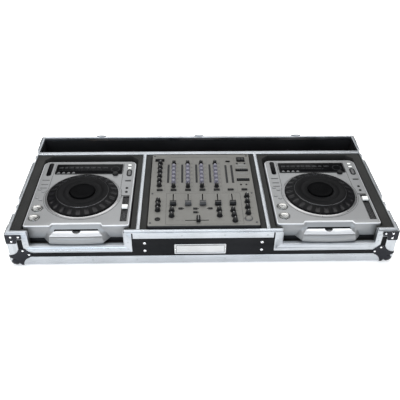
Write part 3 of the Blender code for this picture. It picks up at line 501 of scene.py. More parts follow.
def run_section(bm, section, path, index=0, before=None, after=None, closed=False, by_run=None):
    """A section of (distance left of the path, height) pushed along a flat path and mitred at its turns."""
    first = len(bm.faces)
    path = [Vector(p) for p in path]
    count = len(path)
    if closed:
        headings = [(path[(k + 1) % count] - path[k]).normalized() for k in range(count)]
        arriving = [headings[k - 1] for k in range(count)]
        leaving = headings
    else:
        headings = [(b - a).normalized() for a, b in zip(path, path[1:])]
        arriving = [Vector(before) if before else headings[0]] + headings
        leaving = headings + [Vector(after) if after else headings[-1]]
    rings = []
    for spot, come, go in zip(path, arriving, leaving):
        left_in, left_out = Vector((-come.y, come.x)), Vector((-go.y, go.x))
        mitre = (left_in + left_out) / (1 + left_in.dot(left_out))
        rings.append([bm.verts.new((spot.x + mitre.x * a, spot.y + mitre.y * a, h)) for a, h in section])
    size = len(section)
    pairs = list(zip(rings, rings[1:]))
    if closed:
        pairs.append((rings[-1], rings[0]))
    for n, (a, b) in enumerate(pairs):
        start = len(bm.faces)
        for k in range(size):
            j = (k + 1) % size
            bm.faces.new((a[k], a[j], b[j], b[k]))
        if by_run is not None:
            new_faces(bm, start, by_run[n])
    if by_run is None:
        new_faces(bm, first, index)
    if not closed:
        start = len(bm.faces)
        bm.faces.new(rings[0][::-1])
        bm.faces.new(rings[-1])
        new_faces(bm, start, index if by_run is None else by_run[0])


def tube(bm, points, radius, sides=12, closed=False, index=0, caps=True):
    """A round tube through the points. radius is a number or one per point."""
    before = len(bm.faces)
    points = [Vector(p) for p in points]
    count = len(points)
    radii = radius if isinstance(radius, (list, tuple)) else [radius] * count
    tangents = []
    for k in range(count):
        a = points[k - 1] if (k or closed) else points[0]
        b = points[(k + 1) % count] if (k + 1 < count or closed) else points[-1]
        tangents.append((b - a).normalized())
    normal = tangents[0].orthogonal().normalized()
    frames = []
    for k in range(count):
        if k:
            turn = tangents[k - 1].rotation_difference(tangents[k])
            normal = (turn @ normal).normalized()
        frames.append((normal.copy(), tangents[k].cross(normal).normalized()))
    rings = [
        [
            bm.verts.new(points[k] + (frames[k][0] * math.cos(t) + frames[k][1] * math.sin(t)) * radii[k])
            for t in [2 * math.pi * s / sides for s in range(sides)]
        ]
        for k in range(count)
    ]
    pairs = list(zip(rings, rings[1:]))
    if closed:
        pairs.append((rings[-1], rings[0]))
    for a, b in pairs:
        for s in range(sides):
            bm.faces.new((a[s], a[(s + 1) % sides], b[(s + 1) % sides], b[s]))
    if not closed and caps:
        bm.faces.new(rings[0][::-1])
        bm.faces.new(rings[-1])
    new_faces(bm, before, index)


def dome(bm, centre, axis, radius, height, steps=14, index=0, flat=0.35, sink=0.6):
    """A rivet head: a low dome with a soft foot, sunk a little into what it holds."""
    profile = [(radius * 0.96, -sink), (radius, height * 0.10), (radius * 0.93, height * 0.42), (radius * 0.74, height * 0.76), (radius * flat, height * 0.97), (0, height)]
    lathe(bm, profile, centre, axis, steps, index)


def cross_screw(bm, centre, axis, radius, height, index=0, recess=1, turn=0.4):
    """A pan head with a cross recess modelled as a sunk star."""
    before = len(bm.faces)
    steps = 24
    profile_out = [(radius * 0.98, -0.6), (radius, height * 0.25), (radius * 0.90, height * 0.70), (radius * 0.66, height * 0.96)]
    made = lathe(bm, profile_out, centre, axis, steps, index)
    # the last cap becomes the rim of the recess
    bm.faces.ensure_lookup_table()
    cap = bm.faces[-1]
    ring = list(cap.verts)
    bm.faces.remove(cap)
    star_in, star_low = [], []
    for k, vert in enumerate(ring):
        t = 2 * math.pi * k / steps
        arm = abs(math.cos(2 * (t - turn)))
        r = radius * (0.20 + 0.36 * arm**4)
        star_in.append(bm.verts.new(axis_point(centre, axis, r * math.cos(t), r * math.sin(t), height)))
        star_low.append(bm.verts.new(axis_point(centre, axis, r * 0.7 * math.cos(t), r * 0.7 * math.sin(t), height * 0.35)))
    for k in range(steps):
        j = (k + 1) % steps
        bm.faces.new((ring[k], ring[j], star_in[j], star_in[k]))
        bm.faces.new((star_in[k], star_in[j], star_low[j], star_low[k]))
    bm.faces.new(star_low)
    new_faces(bm, before, index)
    if recess != index:
        bm.faces.ensure_lookup_table()
        for face in bm.faces[before:]:
            if all(v in star_low or v in star_in for v in face.verts):
                face.material_index = recess


def done(name, bm, looks, body, stands=(), angle=38, bevel=None, steps=2, harden=True, solid=None, fix=True, subsurf=0):
    """Turns the mesh into a piece that rides on a body."""
    if fix:
        bmesh.ops.recalc_face_normals(bm, faces=bm.faces)
    bmesh.ops.scale(bm, vec=(MM, MM, MM), verts=bm.verts)
    mesh = bpy.data.meshes.new(name)
    bm.to_mesh(mesh)
    bm.free()
    for look in looks if isinstance(looks, (list, tuple)) else [looks]:
        mesh.materials.append(look)
    obj = bpy.data.objects.new(name, mesh)
    SCENE.collection.objects.link(obj)
    PIECES.append(obj)
    mesh.shade_smooth()
    if solid is not None:
        thick = obj.modifiers.new("thickness", "SOLIDIFY")
        thick.thickness = solid * MM
        thick.offset = -1.0
        thick.use_even_offset = True
    if bevel is not None:
        soft = obj.modifiers.new("edges", "BEVEL")
        soft.width = bevel * MM
        soft.segments = steps
        soft.limit_method = "ANGLE"
        soft.angle_limit = math.radians(32)
        soft.harden_normals = harden
        soft.use_clamp_overlap = True
    elif not subsurf:
        mesh.set_sharp_from_angle(angle=math.radians(angle))
    if subsurf:
        sub = obj.modifiers.new("smooth", "SUBSURF")
        sub.levels = sub.render_levels = subsurf
    if body is not None:
        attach(obj, body)
    if stands:
        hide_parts(*stands)
    return obj


def settle(obj):
    """Applies the modifiers."""
    graph = bpy.context.evaluated_depsgraph_get()
    mesh = bpy.data.meshes.new_from_object(obj.evaluated_get(graph), preserve_all_data_layers=True, depsgraph=graph)
    old = obj.data
    obj.modifiers.clear()
    obj.data = mesh
    mesh.name = obj.name
    bpy.data.meshes.remove(old)
    return obj


def carve(obj, bm, look=None, operation="DIFFERENCE", angle=38):
    """Cuts the mesh in bm out of obj at once. look finishes the cut faces."""
    bmesh.ops.recalc_face_normals(bm, faces=bm.faces)
    bmesh.ops.scale(bm, vec=(MM, MM, MM), verts=bm.verts)
    mesh = bpy.data.meshes.new("carver")
    bm.to_mesh(mesh)
    bm.free()
    if look is not None:
        mesh.materials.append(look)
    tool = bpy.data.objects.new("carver", mesh)
    SCENE.collection.objects.link(tool)
    cut = obj.modifiers.new("carve", "BOOLEAN")
    cut.operation = operation
    cut.solver = "EXACT"
    cut.object = tool
    if look is not None:
        cut.material_mode = "TRANSFER"
    settle(obj)
    bpy.data.objects.remove(tool, do_unlink=True)
    bpy.data.meshes.remove(mesh)
    obj.data.shade_smooth()
    obj.data.set_sharp_from_angle(angle=math.radians(angle))
    return obj


def soften(obj, width, steps=2, degrees=32):
    soft = obj.modifiers.new("edges", "BEVEL")
    soft.width = width * MM
    soft.segments = steps
    soft.limit_method = "ANGLE"
    soft.angle_limit = math.radians(degrees)
    soft.harden_normals = True
    return obj


def dress(node_name, *looks):
    """A carried-over CAD node gets a better finish."""
    obj = frame["nodes"][node_name]
    obj.data.materials.clear()
    for look in looks:
        obj.data.materials.append(look)
    for face in obj.data.polygons:
        face.material_index = 0
    return obj


SIDES = (("left", -1), ("right", 1))
CORNERS = (("front_left", -1, -1), ("front_right", 1, -1), ("rear_left", -1, 1), ("rear_right", 1, 1))
HALF_W, HALF_D = 565.0, 270.0


def span(sx, a, b):
    return (min(sx * a, sx * b), max(sx * a, sx * b))


# ------------------------------------------------------------------ plywood walls

for wall in ("base_panel", "rear_wall", "left_wall", "right_wall", "bay_frame"):
    board = dress(wall, LAMINATE, PLY)
    # The boards' narrow cut edges, and the insides of the cable ways, show the plies.
    for face in board.data.polygons:
        n, c = face.normal, face.center / MM - Vector((0, 0, RISE))
        edge = False
        if wall == "bay_frame":
            flat_y = 146.0 < c.y < 161.0
            edge = (flat_y and abs(n.y) < 0.5 and 30 < c.z < 104) or (abs(n.z) > 0.5 and c.z > 118)
        elif wall in ("left_wall", "right_wall"):
            edge = abs(n.x) < 0.5
        elif wall == "rear_wall":
            edge = abs(n.y) < 0.5
        if edge:
            face.material_index = 1

# Front wall, cut away in front of each player.
bm = bmesh.new()
outline = [(-554.5, 3.3), (554.5, 3.3), (554.5, 115.7), (504.7, 115.7), (504.7, 70.0), (227.5, 70.0), (227.5, 115.7), (-227.5, 115.7), (-227.5, 70.0), (-504.7, 70.0), (-504.7, 115.7), (-554.5, 115.7)]
prism(bm, outline, "XZ", -268.2, -259.8, 1, cap_index=0)
front_panel = done("front_panel", bm, [LAMINATE, PLY], "case", ["front_wall"], bevel=0.25, steps=1)
bm = bmesh.new()
for sx in (-1, 1):
    x0, x1 = span(sx, 548.2, 600)
    quad_box(bm, (x0, -300, -40), (x1, -253.2, 14.8))
carve(front_panel, bm, PLY)

# A blank riveted plate on the front.
bm = bmesh.new()
plate = rounded([(-84.5, 37), (66.5, 37), (66.5, 74), (-84.5, 74)], 3.0)
prism(bm, plate, "XZ", -269.55, -268.25)
badge = done("front_plate", bm, [BRUSHED, RIVET, DARK_STEEL], "case", bevel=0.35, steps=2)
bm = bmesh.new()
inner = rounded([(-80.0, 41.2), (62.0, 41.2), (62.0, 69.8), (-80.0, 69.8)], 2.2)
field = rounded([(-78.6, 42.6), (60.6, 42.6), (60.6, 68.4), (-78.6, 68.4)], 1.6)
count = len(inner)
outer_front = [bm.verts.new((a, -269.9, b)) for a, b in inner]
inner_front = [bm.verts.new((a, -269.9, b)) for a, b in field]
outer_back = [bm.verts.new((a, -269.2, b)) for a, b in inner]
inner_back = [bm.verts.new((a, -269.2, b)) for a, b in field]
for k in range(count):
    j = (k + 1) % count
    bm.faces.new((outer_front[k], outer_front[j], inner_front[j], inner_front[k]))
    bm.faces.new((outer_back[k], inner_back[k], inner_back[j], outer_back[j]))
    bm.faces.new((outer_front[k], outer_back[k], outer_back[j], outer_front[j]))
    bm.faces.new((inner_front[k], inner_front[j], inner_back[j], inner_back[k]))
carve(badge, bm, DARK_STEEL)
bm = bmesh.new()
for x in (-82.2, 64.2):
    dome(bm, (x, -269.5, 55.5), "-Y", 1.7, 0.8)
done("front_plate_rivets", bm, RIVET, "case")

# ------------------------------------------------------------------ aluminium rims

RIM = rounded(
    [
        (0.0, 97.4), (0.0, 101.6), (0.4, 102.0), (0.4, 102.9), (0.0, 103.3), (0.0, 117.5), (4.0, 117.5), (4.0, 122.5),
        (7.1, 122.5), (7.4, 122.1), (8.6, 122.1), (8.9, 122.5), (12.0, 122.5), (12.0, 109.5), (10.5, 109.5), (10.5, 116.0),
        (1.5, 116.0), (1.5, 97.4),
    ],
    [0.4, 0, 0, 0, 0, 1.0, 0.5, 1.1, 0, 0, 0, 0, 1.1, 0.4, 0.4, 0.4, 0.4, 0.4],
    steps=3,
)
rims = {}
for label, sx in SIDES:
    bm = bmesh.new()
    if sx < 0:
        run_section(bm, RIM, [(-HALF_W, HALF_D), (-HALF_W, -HALF_D), (-505.0, -HALF_D)], before=(-1, 0), by_run=[1, 0])
    else:
        run_section(bm, RIM, [(505.0, -HALF_D), (HALF_W, -HALF_D), (HALF_W, HALF_D)], after=(-1, 0), by_run=[0, 1])
    rim = done(label + "_rim_section", bm, [ALU_X, ALU_Y, ALU_Z], "case", [label + "_rim"])
    bm = bmesh.new()
    x0, x1 = span(sx, HALF_W - 9.5, HALF_W + 20)
    for sy in (-1, 1):
        y = sy * 139.0
        quad_box(bm, (x0, y - 40, 87), (x1, y + 40, 133))
    a, b = span(sx, 500, 520.4)
    quad_box(bm, (a, -272, 90), (b, -268.4, 117.25))
    carve(rim, bm, ALU_Z)
    rims[label] = rim

bm = bmesh.new()
run_section(bm, RIM, [(-227.2, -HALF_D), (227.2, -HALF_D)])
rim = done("front_rim_section", bm, [ALU_X, ALU_Z], "case", ["front_rim"])
bm = bmesh.new()
for sx in (-1, 1):
    a, b = span(sx, 202.8, 230)
    quad_box(bm, (a, -272, 90), (b, -268.4, 117.25))
carve(rim, bm, ALU_Z)

bm = bmesh.new()
run_section(bm, RIM, [(HALF_W - 0.45, HALF_D), (-HALF_W + 0.45, HALF_D)], before=(0, 1), after=(0, -1))
done("rear_rim_section", bm, [ALU_X], "case", ["rear_rim"])

# Catches for the lid, on the rear.
for label, x in (("left", -352.5), ("centre", 0.0), ("right", 352.5)):
    bm = bmesh.new()
    face = rounded([(x - 24, 70), (x + 24, 70), (x + 24, 108), (x + 15, 123.6), (x - 15, 123.6), (x - 24, 108)], [5, 5, 6, 3, 3, 6], steps=4)
    prism(bm, face, "XZ", 270.15, 271.35)
    # the hooked lip: a strip rolled inwards over the rim's tongue
    lip = [(271.35, 118.0), (271.2, 123.4), (270.3, 125.2), (268.6, 125.9), (261.0, 125.9), (260.6, 124.6), (261.0, 123.5), (268.2, 123.5), (269.9, 122.4), (270.2, 118.0)]
    lower = [bm.verts.new((x - 8.5, a, b)) for a, b in lip]
    upper = [bm.verts.new((x + 8.5, a, b)) for a, b in lip]
    for k in range(len(lip)):
        j = (k + 1) % len(lip)
        bm.faces.new((lower[k], lower[j], upper[j], upper[k]))
    bm.faces.new(lower[::-1])
    bm.faces.new(upper)
    # a raised rib keeps the plate stiff
    rib = rounded([(x - 5, 78), (x + 5, 78), (x + 5, 104), (x - 5, 104)], 4.5)
    prism(bm, rib, "XZ", 271.0, 271.5)
    done(f"rear_catch_{label}", bm, [ZINC], "case", bevel=0.3, steps=2)
    bm = bmesh.new()
    for dx, z in ((-17, 77), (17, 77), (-17, 101), (17, 101)):
        dome(bm, (x + dx, 271.2, z), "Y", 2.8, 1.0, sink=0.4)
    done(f"rear_catch_rivets_{label}", bm, RIVET, "case")

# ------------------------------------------------------------------ bottom and corner angles

ANGLE = rounded(
    [(0.0, 31.5), (0.0, 28.6), (0.35, 28.2), (0.35, 27.4), (0.0, 27.0), (0.0, 1.5), (30.0, 1.5), (30.0, 3.0), (1.5, 3.0), (1.5, 31.5)],
    [0.6, 0, 0, 0, 0, 2.2, 0.5, 0.5, 0.6, 0.5],
    steps=4,
)
ends = 548.0
bm = bmesh.new()
run_section(bm, ANGLE, [(-ends, -HALF_D), (ends, -HALF_D)])
run_section(bm, ANGLE, [(ends, HALF_D), (-ends, HALF_D)])
side_end = 253.0
run_section(bm, ANGLE, [(-HALF_W, side_end), (-HALF_W, -side_end)], index=1)
run_section(bm, ANGLE, [(HALF_W, -side_end), (HALF_W, side_end)], index=1)
done("bottom_angles", bm, [ALU_X, ALU_Y], "case", ["edge_frame"])

for label, sx, sy in CORNERS:
    bm = bmesh.new()
    leg = rounded(
        [(0, 0), (30, 0), (30, 1.5), (1.5, 1.5), (1.5, 30), (0, 30)],
        [2.6, 0.5, 0.5, 0.8, 0.5, 0.5],
        steps=5,
    )
    outline = [(sx * (HALF_W - a), sy * (HALF_D - b)) for a, b in leg]
    prism(bm, outline, "XY", 15.0, 97.1)
    done("corner_angle_" + label, bm, [ALU_Z], "case", angle=30)

# Rivets along the angles and rims.
bm = bmesh.new()
for sy in (-1, 1):
    axis = "-Y" if sy < 0 else "Y"
    for x in (-455, -325, -195, -65, 65, 195, 325, 455):
        dome(bm, (x, sy * HALF_D, 17.0), axis, 3.1, 0.9)
for sx in (-1, 1):
    axis = "-X" if sx < 0 else "X"
    for y in (-195, -92, 0, 92, 195):
        dome(bm, (sx * HALF_W, y, 17.0), axis, 3.1, 0.9)
    for y in (-60, 60, 215):
        dome(bm, (sx * HALF_W, y, 107.5), axis, 3.1, 0.9)
for x in (-480, -250, -125, 125, 250, 480):
    dome(bm, (x, HALF_D, 107.5), "Y", 3.1, 0.9)
for x in (-185, -62, 62, 185):
    dome(bm, (x, -HALF_D, 107.5), "-Y", 3.1, 0.9)
done("section_rivets", bm, ALU_RIVET, "case")

bm = bmesh.new()
for x in (-170.5, 171.0):
    for z in (78.8, 50.2):
        cross_screw(bm, (x, -268.2, z), "-Y", 4.4, 2.0)
done("front_screws", bm, [RIVET, DARK_STEEL], "case")

# ------------------------------------------------------------------ trims round the front cut-outs

for label, sx in SIDES:
    bm = bmesh.new()
    outline = [(207, 47), (520.2, 47), (520.2, 117.2), (503.2, 117.2), (503.2, 71.5), (229, 71.5), (229, 117.2), (207, 117.2)]
    outline = rounded(outline, [2.5, 2.5, 1.5, 0.5, 4, 4, 0.5, 1.5], steps=4)
    prism(bm, [(sx * x, z) for x, z in outline], "XZ", -270.0, -268.5)
    trim = done("cutout_trim_plate_" + label, bm, [ALU_X, ALU_Z, DARK_STEEL], "case", ["cutout_trim_" + label], bevel=0.35, steps=2)
    settle(trim)
    # drawn grooves beside the opening
    bm = bmesh.new()
    for a, b, c, d in ((229.5, 502.7, 67.6, 69.0), (209, 518, 55.6, 56.3), (209, 518, 50.2, 50.9)):
        x0, x1 = span(sx, a, b)
        quad_box(bm, (x0, -270.5, c), (x1, -269.15, d))
    carve(trim, bm)
    for face in trim.data.polygons:
        c = face.center / MM
        if abs(c.x) < 229 or abs(c.x) > 503.2:
            face.material_index = 1
    # the return round the opening: one folded strip with a rolled front edge
    bm = bmesh.new()
    strip = [(0.0, -270.6), (0.5, -270.95), (1.1, -270.7), (1.25, -270.1), (1.25, -258.0), (0.05, -258.0)]
    stations = rounded([(503.2, 121.4), (503.2, 71.5), (229.0, 71.5), (229.0, 121.4)], [0, 4.0, 4.0, 0], steps=5)
    rings = []
    total = len(stations)
    for k, spot in enumerate(stations):
        here = Vector(spot)
        come = (here - Vector(stations[k - 1])).normalized() if k else (Vector(stations[1]) - here).normalized()
        go = (Vector(stations[k + 1]) - here).normalized() if k < total - 1 else come
        left_in, left_out = Vector((-come.y, come.x)), Vector((-go.y, go.x))
        mitre = (left_in + left_out) / (1 + left_in.dot(left_out))
        rings.append([bm.verts.new((sx * (here.x - mitre.x * a), y, here.y - mitre.y * a)) for a, y in strip])
    for a, b in zip(rings, rings[1:]):
        for k in range(len(strip)):
            j = (k + 1) % len(strip)
            bm.faces.new((a[k], a[j], b[j], b[k]))
    bm.faces.new(rings[0])
    bm.faces.new(rings[-1][::-1])
    done("cutout_return_" + label, bm, [ALU_X], "case", angle=50)
    bm = bmesh.new()
    for x, z in ((511.6, 104), (511.6, 81), (511.6, 57), (218.0, 108), (218.0, 84), (218.0, 59), (241.0, 59), (489.0, 59)):
        dome(bm, (sx * x, -270.0, z), "-Y", 2.7, 0.8)
    done("cutout_trim_rivets_" + label, bm, ALU_RIVET, "case")

# ------------------------------------------------------------------ folded corner braces


def folded(a, radius):
    """Where a point at distance a from a sharp fold lies once the fold is rounded: (in from this face's edge, in from this face)."""
    if a >= radius:
        return a, 0.0
    turn = math.pi / 4 * (1 - a / radius)
    return radius * (1 - math.sin(turn)), radius * (1 - math.cos(turn))


OUT_X, OUT_Y = 566.5, 271.5
for label, sx, sy in CORNERS:
    bm = bmesh.new()
    outline = [(46.5, 117), (46.5, 99.5), (31.5, 99.5), (31.5, 84), (-31.5, 84), (-31.5, 99.5), (-46.5, 99.5), (-46.5, 117)]
    outline = rounded(outline, [3.5, 3.5, 2.5, 4.5, 4.5, 2.5, 3.5, 3.5], steps=5)
    bm.faces.new([bm.verts.new((a, 0, b)) for a, b in outline])
    for cut_at in (-2.6, -1.95, -1.3, -0.65, 0.0, 0.65, 1.3, 1.95, 2.6):
        geom = list(bm.verts) + list(bm.edges) + list(bm.faces)
        bmesh.ops.bisect_plane(bm, geom=geom, plane_co=(cut_at, 0, 0), plane_no=(1, 0, 0), dist=0.0001)
    for vert in bm.verts:
        s, z = vert.co.x, vert.co.z
        along, inward = folded(abs(s), 2.6)
        if s >= 0:
            x, y = OUT_X - along, OUT_Y - inward
        else:
            x, y = OUT_X - inward, OUT_Y - along
        vert.co = (sx * x, sy * y, z)
    # normals face out, so that the thickness goes inwards
    bmesh.ops.recalc_face_normals(bm, faces=bm.faces)
    bm.faces.ensure_lookup_table()
    probe = max(bm.faces, key=lambda f: f.calc_area())
    outward = Vector((sx, sy, 0))
    if probe.normal.dot(outward) < 0:
        bmesh.ops.reverse_faces(bm, faces=bm.faces)
    done("corner_brace_plate_" + label, bm, [CHROME], "case", ["corner_brace_" + label], solid=1.15, bevel=0.28, steps=2, fix=False)
    bm = bmesh.new()
    for a, z in ((39.0, 108.6), (17.5, 108.6), (17.5, 92.2)):
        dome(bm, (sx * (OUT_X - a), sy * (OUT_Y - 0.02), z), "-Y" if sy < 0 else "Y", 3.3, 1.3 if sy > 0 else 1.5)
        dome(bm, (sx * (OUT_X - 0.02), sy * (OUT_Y - a), z), "-X" if sx < 0 else "X", 3.3, 1.5)
    done("corner_brace_rivets_" + label, bm, RIVET, "case")

# ------------------------------------------------------------------ ball corners

BALL, BALL_X, BALL_Y, BALL_Z = 20.9, 14.6, 17.0, 14.4  # the ball, and its middle in from the case's faces and up
FOLD = 17.0  # how round the plates turn under the ball


def edge_radius(distance):
    """How far the edge is rounded, at this distance from the corner: wide round the ball, a tight fold beyond."""
    t = min(1.0, max(0.0, (distance - 23.0) / 10.0))
    t = t * t * (3 - 2 * t)
    return FOLD * (1 - t) + 2.4 * t


def on_corner(a, b, c):
    """A point of the sharp corner, given by its distances in from the three outer planes, one of them 0, moved to the rounded corner."""
    inward = [a, b, c]
    face = min(range(3), key=lambda k: inward[k])
    u, v = [k for k in range(3) if k != face]
    # the edge shared with the face whose plane is near in u runs along v, and the other way round
    ru, rv = edge_radius(inward[v]), edge_radius(inward[u])
    qu = max(0.0, ru - inward[u]) / ru
    qv = max(0.0, rv - inward[v]) / rv
    if qu == 0 and qv == 0:
        return tuple(inward)
    radius = ru if qv == 0 else rv if qu == 0 else (ru + rv) / 2
    direction = Vector((0, 0, 0))
    direction[face] = 1.0
    direction[u] = math.tan(qu * math.pi / 4)
    direction[v] = math.tan(qv * math.pi / 4)
    direction.normalize()
    moved = list(inward)
    moved[face] = radius * (1 - direction[face])
    if qu > 0:
        moved[u] = radius * (1 - direction[u])
    if qv > 0:
        moved[v] = radius * (1 - direction[v])
    return tuple(moved)


def leaf():
    """One lobe of a ball corner, in distances from its two edges."""
    start, tip = 38.0, 63.5
    half = [(0.0, 0.0), (start, 0.0)]
    # hollow side from the edge up to the rivet lobe
    for k in range(1, 9):
        t = k / 9
        a = start + 5.5 * math.sin(t * math.pi / 2) ** 2 + (tip - start - 5.5) * (1 - math.cos(t * math.pi / 2))
        b = 31.0 * math.sin(t * math.pi / 2)
        half.append((a, b))
    lobe = rounded([(tip - 1.5, 32.0), (tip + 2.5, 36.0), (tip + 2.5, 46.5), (48.5, tip + 1.0), (37.0, tip + 1.0), (32.0, tip - 2.0)], [3, 6, 6, 6, 6, 3], steps=4)
    mirrored = [(b, a) for a, b in half[:0:-1]]
    return half + lobe + mirrored


LEAF = leaf()
for label, sx, sy in CORNERS:
    bm = bmesh.new()
    for face in range(3):
        part = bmesh.new()
        # flat lobe in distances: (a, b) stand for the two axes other than the face's own
        part.faces.new([part.verts.new((a, b, 0)) for a, b in LEAF])
        cuts = [k * 2.25 for k in range(1, 17)]
        for at in cuts:
            for way in ((1, 0, 0), (0, 1, 0)):
                geom = list(part.verts) + list(part.edges) + list(part.faces)
                bmesh.ops.bisect_plane(part, geom=geom, plane_co=(at * way[0], at * way[1], 0), plane_no=way, dist=0.0001)
        bmesh.ops.triangulate(part, faces=[f for f in part.faces if len(f.verts) > 4])
        index = {}
        for vert in part.verts:
            a, b = vert.co.x, vert.co.y
            inward = {0: (0.0, a, b), 1: (a, 0.0, b), 2: (a, b, 0.0)}[face]
            p = on_corner(*inward)
            index[vert] = bm.verts.new((sx * (OUT_X - p[0]), sy * (OUT_Y - p[1]), p[2] + 0.05))
        for flat in part.faces:
            bm.faces.new([index[v] for v in flat.verts])
        part.free()
    bmesh.ops.remove_doubles(bm, verts=bm.verts, dist=0.02)
    bmesh.ops.recalc_face_normals(bm, faces=bm.faces)
    probe = max(bm.faces, key=lambda f: f.calc_area())
    if probe.normal.dot(Vector((sx, sy, -1))) < 0:
        bmesh.ops.reverse_faces(bm, faces=bm.faces)
    corner = done("ball_corner_shell_" + label, bm, [CHROME], "case", ["ball_corner_" + label], solid=1.1, bevel=None, fix=False, angle=50)
    bm = bmesh.new()
    bmesh.ops.create_uvsphere(bm, u_segments=48, v_segments=26, radius=BALL)
    bmesh.ops.translate(bm, vec=(sx * (HALF_W - BALL_X), sy * (HALF_D - BALL_Y), BALL_Z), verts=bm.verts)
    carve(corner, bm, operation="UNION", angle=50)
    # hollow inside, up to the room that the case's boards leave for the ball
    ix0, ix1 = span(sx, HALF_W - 120, HALF_W + 0.25)
    iy0, iy1 = span(sy, HALF_D - 120, HALF_D + 0.25)
    ox0, ox1 = span(sx, HALF_W - 120, HALF_W - 16.5 + 0.25)
    oy0, oy1 = span(sy, HALF_D - 120, HALF_D - 16.5 + 0.25)
    for lo, hi in (((ix0, iy0, BALL_Z - 0.25), (ix1, iy1, 120.0)), ((ox0, iy0, 1.4), (ox1, iy1, 120.0)), ((ix0, oy0, 1.4), (ix1, oy1, 120.0))):
        bm = bmesh.new()
        quad_box(bm, lo, hi)
        carve(corner, bm, angle=50)
    bm = bmesh.new()
    for a, b in ((59.0, 41.0), (43.0, 56.5)):
        dome(bm, (sx * (OUT_X - a), sy * (OUT_Y - 0.02), b), "-Y" if sy < 0 else "Y", 3.3, 1.5)
        dome(bm, (sx * (OUT_X - 0.02), sy * (OUT_Y - a), b), "-X" if sx < 0 else "X", 3.3, 1.5)
    done("ball_corner_rivets_" + label, bm, RIVET, "case")

# ------------------------------------------------------------------ capping strips

CAP = rounded(
    [(0.0, 112.5), (0.0, 122.5), (4.2, 122.5), (4.5, 122.15), (5.4, 122.15), (5.7, 122.5), (17.0, 122.5), (17.0, 112.5), (15.5, 112.5), (15.5, 121.0), (1.5, 121.0), (1.5, 112.5)],
    [0.4, 1.2, 0, 0, 0, 0, 1.2, 0.4, 0.4, 0.4, 0.4, 0.4],
    steps=4,
)
STRIP = rounded(
    [(0.0, 117.0), (0.0, 122.4), (2.6, 122.4), (3.0, 122.65), (7.6, 122.65), (8.0, 122.4), (10.6, 122.4), (10.6, 117.0), (9.4, 117.0), (9.4, 121.0), (1.2, 121.0), (1.2, 117.0)],
    [0.3, 0.9, 0, 0.2, 0.2, 0, 0.9, 0.3, 0.3, 0.3, 0.3, 0.3],
    steps=3,
)
bm = bmesh.new()
run_section(bm, CAP, [(-552.7, 145.0), (552.7, 145.0)])
for x in (-188.6, 188.6):
    run_section(bm, STRIP, [(x + 5.3, -257.6), (x + 5.3, 144.7)], index=1)
done("bay_capping", bm, [ALU_X, ALU_Y], "case", ["bay_trim"])
bm = bmesh.new()
for x in (-520, -367, -230, -90, 90, 230, 367, 520):
    dome(bm, (x, 153.5, 122.5), "Z", 2.9, 0.8)
for x in (-188.6, 188.6):
    for y in (-235, -105, 15, 125):
        dome(bm, (x, y, 122.6), "Z", 2.3, 0.6)
done("capping_rivets", bm, ALU_RIVET, "case")

# ------------------------------------------------------------------ foam linings

for name in ("deck_bay_lining_left", "deck_bay_lining_right", "mixer_bay_lining"):
    source = frame["nodes"][name]
    bm = bmesh.new()
    bm.from_mesh(source.data)
    bmesh.ops.scale(bm, vec=(1 / MM, 1 / MM, 1 / MM), verts=bm.verts)
    bmesh.ops.translate(bm, vec=(0, 0, -RISE), verts=bm.verts)
    bmesh.ops.remove_doubles(bm, verts=bm.verts, dist=0.01)
    bmesh.ops.dissolve_limit(bm, angle_limit=math.radians(1), verts=bm.verts, edges=bm.edges)
    foam = done(name.replace("_lining", "_foam"), bm, [FOAM], "case", [name], bevel=1.6, steps=3)

# ------------------------------------------------------------------ recessed twist latches

